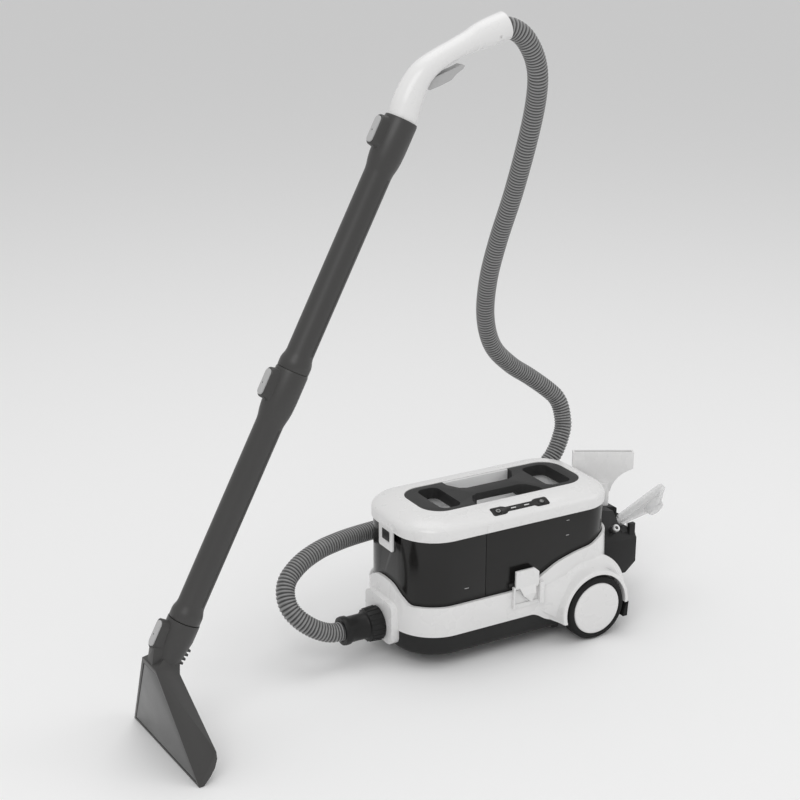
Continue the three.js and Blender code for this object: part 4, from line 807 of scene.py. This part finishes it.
def tank_volume(name, inset, lift, x0, x1):
    outline = [(x0, 300), (x0, TANK_LOW + lift)]
    outline += [(x, TANK_LOW + lift + rise) for x, rise in UNDERSIDE if x0 < x < x1]
    last = TANK_LOW + lift + (52 + 8 * (x1 - 150) / 80 if x1 > 150 else 0)
    outline += [(x1, last), (x1, 300)]
    body = body_slab(name, TANK_INSET + inset, TANK_LOW - 5, TANK_HIGH + lift * 4, SMOKE)
    return combine(body, slab("side", outline, -150, 150, "xz", SMOKE), "INTERSECT")


def tongue_pocket(grow):
    """Room for the cover's tongue, with a finger notch on the near side."""
    depth = -BODY_LENGTH + 11 + grow
    pocket = block("pocket", (-230, depth), (-16 - grow, 16 + grow), (202 - grow, 300), SMOKE)
    return join(pocket, block("notch", (-230, depth), (-43 - grow, 16 + grow), (210 - grow, 300), SMOKE))


def seam_notch():
    half = BODY_WIDTH - TANK_INSET - TANK_WALL
    reach = TANK_WALL + 2
    return block("notch", (SEAM_X - reach, SEAM_X + reach), (-half, half), (199.7, 300), SMOKE)


def upright(name, x, y, low, high, radius, paint, sides=40):
    place = Matrix.Translation(mm(x, y, 0))
    return rod(name, radius, low, high, place, paint, sides)


front_tank = tank_volume("dirty_water_tank", 0, 0, -230, SEAM_X - 0.3)
front_room = tank_volume("room", TANK_WALL, TANK_WALL, -230, SEAM_X - 0.3 - TANK_WALL)
cut(front_room, tongue_pocket(TANK_WALL))
cut(front_tank, front_room, tongue_pocket(0), seam_notch(), upright("inlet", -164, 0, 80, 110, 14.3, SMOKE))
soften(front_tank, 0.8, 3)
stands_for(front_tank, "dirty_tank")
rear_tank = tank_volume("clean_water_tank", 0, 0, SEAM_X + 0.3, 230)
cut(
    rear_tank, tank_volume("room", TANK_WALL, TANK_WALL, SEAM_X + 0.3 + TANK_WALL, 230), seam_notch(),
    upright("outlet", -10, 40, 80, 110, 7.3, SMOKE),
)
soften(rear_tank, 0.8, 3)
stands_for(rear_tank, "clean_tank")


def tank_mark(name, x, z, half_x):
    """A plain dash on the near wall of a tank."""
    half_z = 0.35
    face = -BODY_WIDTH + TANK_INSET
    mark = slab(name, rounded(x, z, half_x, half_z, 0.3, 3), face - 0.25, face + 0.4, "xz", MARK)
    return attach(mark, "tank_module")


tank_mark("dirty_level_mark", -104, 136, 4)
tank_mark("clean_full_mark", 95, 215, 3)
tank_mark("clean_low_mark", 95, 188, 3)
moulded("tank_lid", BLACK, 0.5, 2)
moulded("filler_cap", PALE, 0.8, 3)
moulded("float_cage", PALE, 0.3, 2)
moulded("tank_float", PALE, 1.5, 3)
moulded("inlet_pipe", PALE, 0.4, 2)
moulded("tank_valve", PALE, 0.5, 2)
print("tank faces:", len(front_tank.data.polygons), len(rear_tank.data.polygons))

# %% [markdown]
# The white base shell follows the body outline a little further out. Its upper edge is a
# long curve, high at the hose port, low along the side and high again at the back, and the
# wheel arches swell out of it. It is built from those same ideas: an upright loft, two
# turned arches joined to it, and the long curve cut across.

# %% Base shell
SIDE_EDGE = smooth_line((
    (-150, 112), (-75, 112), (-15, 112), (16, 117), (39, 127), (72, 144), (109, 155), (140, 161),
    (162, 169), (180, 172), (260, 172),
), 6)
FRONT_EDGE = smooth_line((
    (-150, 112), (-85, 112), (-66, 112), (-52, 121), (-32, 133), (-14, 137), (14, 137), (32, 133),
    (52, 121), (66, 112), (85, 112), (150, 112),
), 6)
PARTING = smooth_line((
    (-260, 60), (0, 60), (22, 60), (34, 56), (48, 47), (60, 42), (72, 40), (120, 40), (260, 40),
), 6)
ARCH_ROOT_Y, ARCH_LIP_Y, WHEEL_R = 101, 136, 57


def arch(side):
    place = along(mm(WHEEL_X, 0, WHEEL_R), mm(WHEEL_X, side, WHEEL_R))
    swell = smooth_line(((86, 100), (80, 104), (74.5, 111), (71, 119), (69, 127), (68, 133)), 4)
    lip = [(67, 135.4), (65.5, ARCH_LIP_Y), (0, ARCH_LIP_Y)]
    return spun("arch", [(0, 95), (86, 95)] + swell + lip, place, WHITE, 128)


def flare(side):
    root, lip = side * ARCH_ROOT_Y, ARCH_LIP_Y
    return hull("flare", [
        mm(40, root, 62), mm(40, root, 108), mm(40, side * 107, 64), mm(40, side * 107, 106),
        mm(WHEEL_X - 58, root, 41), mm(WHEEL_X - 58, side * (lip - 14), 41), mm(WHEEL_X - 40, root, 124),
        mm(WHEEL_X - 40, side * (lip - 14), 112), mm(WHEEL_X - 40, root, 41),
        mm(WHEEL_X - 57, side * (lip - 8), 60),
        mm(WHEEL_X - 51, side * (lip - 8), 92),
    ], WHITE)


def wheel_axis(name, radius, low, high, sides=96):
    return rod(name, radius, low, high, along(mm(WHEEL_X, 0, WHEEL_R), mm(WHEEL_X, 1, WHEEL_R)), WHITE, sides)


WELL_R, WELL_Y, BEARING_R = WHEEL_R + 4, 107.5, 5.3
SEAT_R = 23.8  # room for the port's socket
shell = loft("white_base", [body_ring(-4, 36), body_ring(-4, 120), body_ring(-2, 200)], WHITE)
for side in (-1, 1):
    join(shell, arch(side), flare(side))
side_tool = slab("edge", SIDE_EDGE + [(260, 330), (-150, 330)], -170, 170, "xz", WHITE)
front_tool = slab("edge", FRONT_EDGE + [(150, 330), (-150, 330)], -260, -149.9, "yz", WHITE)
low_tool = slab("low", PARTING + [(260, -60), (-260, -60)], -200, 200, "xz", WHITE)
inside = body_slab("inside", 1.8, 20, 260, WHITE)
behind = block("behind", (WHEEL_X, 270), (-200, 200), (-60, 54), WHITE)
cut(behind, body_slab("keep", -4.3, -70, 100, WHITE))
cut(shell, side_tool, front_tool, inside, low_tool, behind)
cut(
    shell, wheel_axis("near_well", WELL_R, -170, -WELL_Y), wheel_axis("far_well", WELL_R, WELL_Y, 170),
    wheel_axis("bearing", BEARING_R, -180, 180, 32),
)
boss = slab("boss", rounded(0, 69, 45, 37, 14), PORT_FACE, -198, "yz", WHITE)
join(shell, boss)
seat = rod("seat", SEAT_R, 150, 240, port, WHITE, 64)
gland_hole = rod("gland_hole", 9.3, 180, 230, along(mm(0, 25, 66), mm(1, 25, 66)), WHITE, 40)
cut(shell, seat, gland_hole)
soften(shell, 1.3, 3)
stands_for(shell, "base_shell")
print("base shell faces:", len(shell.data.polygons))

# %% [markdown]
# Below the white shell sits a black tray, a touch smaller, with a rounded lower edge.

# %% Base tray
TRAY_RINGS = ((5, 25), (1.5, 26.2), (-0.8, 29), (-2, 34), (-2, 60))  # inset, height
CASTER_X, CASTER_Y = -130, 28
tray = loft("black_base", [body_ring(inset, z) for inset, z in TRAY_RINGS], BLACK)
cut(
    tray,
    slab("above", [(x, z - 0.3) for x, z in PARTING] + [(260, 330), (-260, 330)], -150, 150, "xz", BLACK),
    body_slab("room", 6, 28, 100, BLACK),
    slab("boss_room", rounded(0, 69, 45.4, 37.4, 14), -260, -197.6, "yz", BLACK),
    rod("port_room", SEAT_R, 150, 260, port, BLACK, 64),
)
for x, y in ((110, 30), (110, -30), (172, 0)):
    join(tray, upright("post", x, y, 26, 61.7, 6, BLACK, 24))
for y in (-92, 92):
    place = Matrix.Translation(mm(78, y, 0))
    join(tray, spun("skid", [(0, 19), (6, 19), (7.5, 20.5), (11, 30), (0, 30)], place, BLACK, 32))
for y in (-CASTER_Y, CASTER_Y):
    join(tray, upright("seat", CASTER_X, y, 26, 39, 9, BLACK, 32))
    cut(tray, upright("pin", CASTER_X, y, 10, 36, 4.3, BLACK, 24))
soften(tray, 0.8, 3)
stands_for(tray, "base_tray")
for node, paint, width in (
    ("port_socket", BLACK, 0.4), ("rear_bumper", BLACK_DULL, 1.2), ("cord_gland", BLACK_DULL, 0.6),
    ("near_caster_fork", BLACK, 0.4), ("far_caster_fork", BLACK, 0.4), ("near_caster_wheel", BLACK_DULL, 1.0),
    ("far_caster_wheel", BLACK_DULL, 1.0),
):
    moulded(node, paint, width)
print("tray faces:", len(tray.data.polygons))

# %% [markdown]
# The machinery is only seen with the tanks lifted off, so it keeps its CAD meshes and gets
# materials. Each node's own material slot is changed and nothing else.

# %% Machinery
for node, paint in (
    ("motor_can", TUBE_GREY), ("fan_impeller", STEEL), ("water_pump", BLACK), ("control_board", GREEN),
    ("suction_elbow", BLACK), ("tank_deck", BLACK), ("rear_axle", STEEL),
):
    mesh = frame["nodes"][node].data
    mesh.materials.clear()
    mesh.materials.append(paint.material)

# %% [markdown]
# A wheel is a soft black tyre round a plain white disc. Both are turned. The tyre's five
# grooves run right round it, so they are part of its profile.

# %% Wheels
GROOVE_DEPTH = 0.8


def tyre_profile():
    side = [(46.8, -14), (48, -14.6), (52, -14.8), (54.6, -13.6), (56.2, -11)]
    grooves = []
    for k in (-8.5, -4.25, 0, 4.25, 8.5):
        crown = WHEEL_R - 0.0048 * k * k
        floor = crown - GROOVE_DEPTH
        grooves += [(crown, k - 1.5), (crown, k - 0.55), (floor, k - 0.4)]
        grooves += [(floor, k + 0.4), (crown, k + 0.55), (crown, k + 1.5)]
    return side + grooves + [(r, -z) for r, z in reversed(side)]


HUB_PROFILE = [
    (0, 0.9), (18, 0.8), (34, 0.3), (42.5, -0.4), (44.6, -0.9), (45.6, -1.8), (46, -3), (46, -26),
    (16, -26), (16, -28), (5.3, -28), (5.3, -8), (0, -8),
]
HUB_FACE_Y, TYRE_MIDDLE_Y = 138.5, 122.5
for label, side in (("near", -1), ("far", 1)):
    face, middle = (
        along(mm(WHEEL_X, side * y, WHEEL_R), mm(WHEEL_X, side * (y + 1), WHEEL_R))
        for y in (HUB_FACE_Y, TYRE_MIDDLE_Y)
    )
    tyre = spun(label + "_tyre_rubber", tyre_profile(), middle, BLACK_DULL, 120)
    stands_for(soften(tyre, 0), label + "_tyre")
    disc = spun(label + "_wheel_disc", HUB_PROFILE, face, WHITE, 120)
    stands_for(soften(disc, 0.3, 2), label + "_hub")

# %% [markdown]
# The side latch is a rocker with a lobe to push, held between two fixed cheeks.

# %% Side latch
moulded("tank_latch", WHITE, 2.2, 5, 20)
moulded("latch_bracket", WHITE, 0.8, 3)

# %% [markdown]
# At the back a black caddy carries the two hand tools: an upright wide one in white and a
# clear one that points away. Their edges are rounded and their CAD shape is kept.

# %% Caddy and hand tools
moulded("tool_caddy", BLACK, 3.0, 4, 25)
moulded("wide_tool", WHITE, 1.5, 4)
moulded("hand_nozzle", CLEAR, 1.2, 3)
moulded("spray_tip", STEEL, 0.4, 2)
moulded("clear_clip", CLEAR, 0.8, 3)

# %% [markdown]
# The wand stands on its own line, leaning back. Each tube is turned: collar, long tube, and a
# socket whose release button sits in a raised racetrack frame. The frame is joined on and
# its pocket is cut, so button and frame meet with a real shadow gap.

# %% Wand tubes
WAND_Y, WAND_LEAN = -114, math.radians(27.5)
WAND = Matrix.Translation(mm(-600.5, WAND_Y, 207.5)) @ Matrix.Rotation(WAND_LEAN, 4, "Y")
TUBE_R, SOCKET_R, LOWER_END, UPPER_END = 20.6, 25, 400, 792
SPIGOT_R, BORE_R = 20.3, 18.2
SHORT_SPIGOT, LONG_SPIGOT = 24, 52
SPINE_TURN = math.radians(30)
KEY_SPAN, KEY_REACH = (-52, -6), 35


def wand_ring(x, outline):
    return [WAND @ (Vector((x, y, z)) / 1000) for y, z in outline]


def wand_slab(name, outline, low, high, paint):
    """An outline in the wand's own Y-Z plane, run along its X."""
    return loft(name, [wand_ring(x, outline) for x in (low, high)], paint)


def key_frame(ring):
    """The raised frame round a release button, and the pocket inside it."""
    middle = ring + sum(KEY_SPAN) / 2
    half = (KEY_SPAN[1] - KEY_SPAN[0]) / 2
    rings = []
    for x, grow, stretch in ((-12, 3, 5), (-24, 1.6, 2), (-29, 0.5, 0.6), (-33.5, 0, 0), (-35, -1, -1)):
        rings.append(wand_ring(x, rounded(0, middle, 10.5 + grow, half + stretch, 9.5 + grow * 0.5)))
    pad = loft("pad", rings, TUBE_GREY)
    opening = rounded(0, middle, 7.8, half - 2.7, 7.3)
    pocket = wand_slab("pocket", opening, -KEY_REACH - 5, -KEY_REACH + 6.5, TUBE_GREY)
    return pad, pocket


def wand_tube(name, start, end, spigot):
    """Spigot, collar, tube and socket in one turned wall, from one ring line to the next."""
    profile = [
        (BORE_R, start - spigot), (SPIGOT_R, start - spigot), (SPIGOT_R, start + 0.3), (23.4, start + 0.3),
        (24.2, start + 1.5), (24.2, start + 12), (23.4, start + 16), (21.4, start + 22), (TUBE_R, start + 27),
        (TUBE_R, end - 84), (21.2, end - 78), (23.2, end - 68), (24.4, end - 58), (SOCKET_R, end - 44),
        (SOCKET_R, end - 3), (24.2, end), (TUBE_R, end), (TUBE_R, end - 54), (BORE_R, end - 58),
    ]
    tube = spun(name, profile, WAND, TUBE_GREY, 96)
    pad, pocket = key_frame(end)
    join(tube, pad)
    bore_profile = [(0, end - 57), (TUBE_R, end - 54), (TUBE_R, end + 5), (0, end + 5)]
    bore = spun("bore", bore_profile, WAND, TUBE_GREY, 96)
    through = rod("through", BORE_R, start - 80, end - 50, WAND, TUBE_GREY, 96)
    cut(tube, pocket, bore, through)
    side = WAND @ Matrix.Rotation(SPINE_TURN, 4, "Z")
    section = ((-2.4, 19.4), (-1.2, 21.9), (1.2, 21.9), (2.4, 19.4))
    rings = [[side @ (Vector((x, -y, z)) / 1000) for x, y in section] for z in (start + 30, end - 88)]
    join(tube, loft("spine", rings, TUBE_GREY))
    return soften(tube, 0.7, 3)


stands_for(wand_tube("lower_wand_tube", 0, LOWER_END, SHORT_SPIGOT), "lower_tube")
stands_for(wand_tube("upper_wand_tube", LOWER_END, UPPER_END, LONG_SPIGOT), "upper_tube")


def release_key(name, ring, body):
    middle = ring + sum(KEY_SPAN) / 2
    half = (KEY_SPAN[1] - KEY_SPAN[0]) / 2 - 3
    rings = []
    for x, grow in ((-32.4, 0), (-36.4, 0), (-37.2, -0.5), (-37.6, -1.6), (-37.8, -3.4)):
        rings.append(wand_ring(x, rounded(0, middle, 7.5 + grow, half + grow, 7 + grow)))
    key = loft(name + "_cap", rings, PALE)
    soften(key, 0)
    stands_for(key, name)
    dot = wand_slab(name + "_dot", rounded(0, middle - 2, 1.1, 1.1, 1.0, 4), -37.95, -37.6, TUBE_GREY)
    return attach(dot, body)


release_key("tool_key", 0, "tool_release")
release_key("lower_key", LOWER_END, "lower_release")
release_key("upper_key", UPPER_END, "upper_release")

# %% [markdown]
# The handle is one bent, tapering grip with a cuff at its end for the hose. Rings of changing
# height and width are placed along its centreline and skinned. A slot under the grip
# takes the trigger.

# %% Handle
HANDLE_LINE = (  # x, z, half height, half width
    (-231.5, 918, 21.8, 21.8), (-224, 938, 21.4, 21.4), (-213, 959, 19.8, 20.4), (-197, 978, 17.6, 19.6),
    (-171, 993.5, 15.4, 18.4), (-145, 1005, 15, 18), (-120, 1015, 16.6, 18.4), (-107, 1019.8, 19.2, 19.6),
    (-88, 1026, 20.6, 20.6), (-62.5, 1033.7, 21.4, 21.4),
)


def tube_rings(line, sides, change):
    """Oval rings across a line in the wand's plane; change resizes each radius."""
    rings = []
    for i, (x, z, high, wide) in enumerate(line):
        before, after = line[max(i - 1, 0)], line[min(i + 1, len(line) - 1)]
        step = Vector((after[0] - before[0], 0, after[1] - before[1])).normalized()
        if i == 0:
            step = Vector((math.sin(WAND_LEAN), 0, math.cos(WAND_LEAN)))
        high, wide = change(high), change(wide)
        rings.append([
            mm(x + step.z * high * math.cos(a), WAND_Y + wide * math.sin(a), z - step.x * high * math.cos(a))
            for a in (2 * math.pi * k / sides for k in range(sides))
        ])
    return rings


foot = WAND @ Vector((0, 0, (UPPER_END + 0.3) / 1000))
foot = (foot - ORIGIN) * 1000
grip_line = smooth_line(((foot.x, foot.z, 21.8, 21.8),) + HANDLE_LINE, 6)
grip = loft("wand_grip", tube_rings(grip_line, 64, lambda r: r), WHITE)
join(grip, rod("spigot", SPIGOT_R, 742, 798, WAND, WHITE, 64))


def across(x, y, z, end_y):
    """A place whose Z runs across the machine."""
    return along(mm(x, y, z), mm(x, end_y, z))


TRIGGER_SLOT = [(-203, 946), (-180, 946), (-124, 974), (-124, 993), (-150, 990), (-203, 970)]
mouth = along(mm(-84, WAND_Y, 1027.3), mm(-50, WAND_Y, 1036.4))
cut(
    grip,
    loft("bore", tube_rings(grip_line[1:-8], 40, lambda r: min(r - 4, 12)), WHITE),
    rod("spigot_bore", 13, 730, 806, WAND, WHITE, 40),
    rod("mouth", 17.2, 0, 60, mouth, WHITE, 64),
    slab("slot", TRIGGER_SLOT, WAND_Y - 9, WAND_Y + 9, "xz", WHITE),
    rod("pin_hole", 2.3, -14, 14, across(-195, WAND_Y, 962, WAND_Y + 1), WHITE, 24),
    rod("screw_hole", 2.4, 0, 20, across(-80.3, -131, 1019.6, -150), BLACK, 24),
)
soften(grip, 0.9, 3)
stands_for(grip, "wand_handle")
moulded("wand_trigger", PALE, 1.2, 3)
print("grip faces:", len(grip.data.polygons))

# %% [markdown]
# The floor tool is a flat fan of plain slopes, so it keeps its CAD facets with soft edges,
# and has a smoky plate in front.

# %% Floor tool
moulded("floor_tool", TUBE_GREY, 1.2, 3, 30)
moulded("tool_window", PANEL, 0.5, 2)

# %% [markdown]
# A plain pale floor, three large soft lights and a bright sky give even studio light.

# %% Studio
floor_paint = plastic("floor", grey(0.93), 0.7, 40, bump=0.0, cloud=0.0, Specular_IOR_Level=0.1)
FLOOR_HALF = 60
corners = [(x * FLOOR_HALF, y * FLOOR_HALF, 0) for x, y in ((-1, -1), (1, -1), (1, 1), (-1, 1))]
floor = bpy.data.meshes.new("floor")
floor.from_pydata(corners, [], [(0, 1, 2, 3)])
floor.materials.append(floor_paint.material)
floor_object = bpy.data.objects.new("floor", floor)
floor_object.location.z = -0.0005
bpy.context.scene.collection.objects.link(floor_object)


def soft_light(name, place, size, power):
    lamp = bpy.data.lights.new(name, "AREA")
    lamp.shape = "DISK"
    lamp.size = size
    lamp.energy = power
    obj = bpy.data.objects.new(name, lamp)
    aim = (mm(0, 0, 250) - place).to_track_quat("-Z", "Y")
    obj.matrix_world = Matrix.Translation(place) @ aim.to_matrix().to_4x4()
    bpy.context.scene.collection.objects.link(obj)


soft_light("key_light", Vector((-2.2, -2.4, 3.4)), 2.6, 42)
soft_light("side_light", Vector((3.0, -1.6, 2.2)), 2.2, 12)
soft_light("top_light", Vector((0.2, 0.6, 3.6)), 3.0, 24)
world = bpy.data.worlds.new("studio")
world.use_nodes = True
sky = world.node_tree.nodes["Background"].inputs
sky["Color"].default_value = (1, 1, 1, 1)
sky["Strength"].default_value = 0.62
bpy.context.scene.world = world
bpy.context.scene.view_settings.view_transform = "Standard"
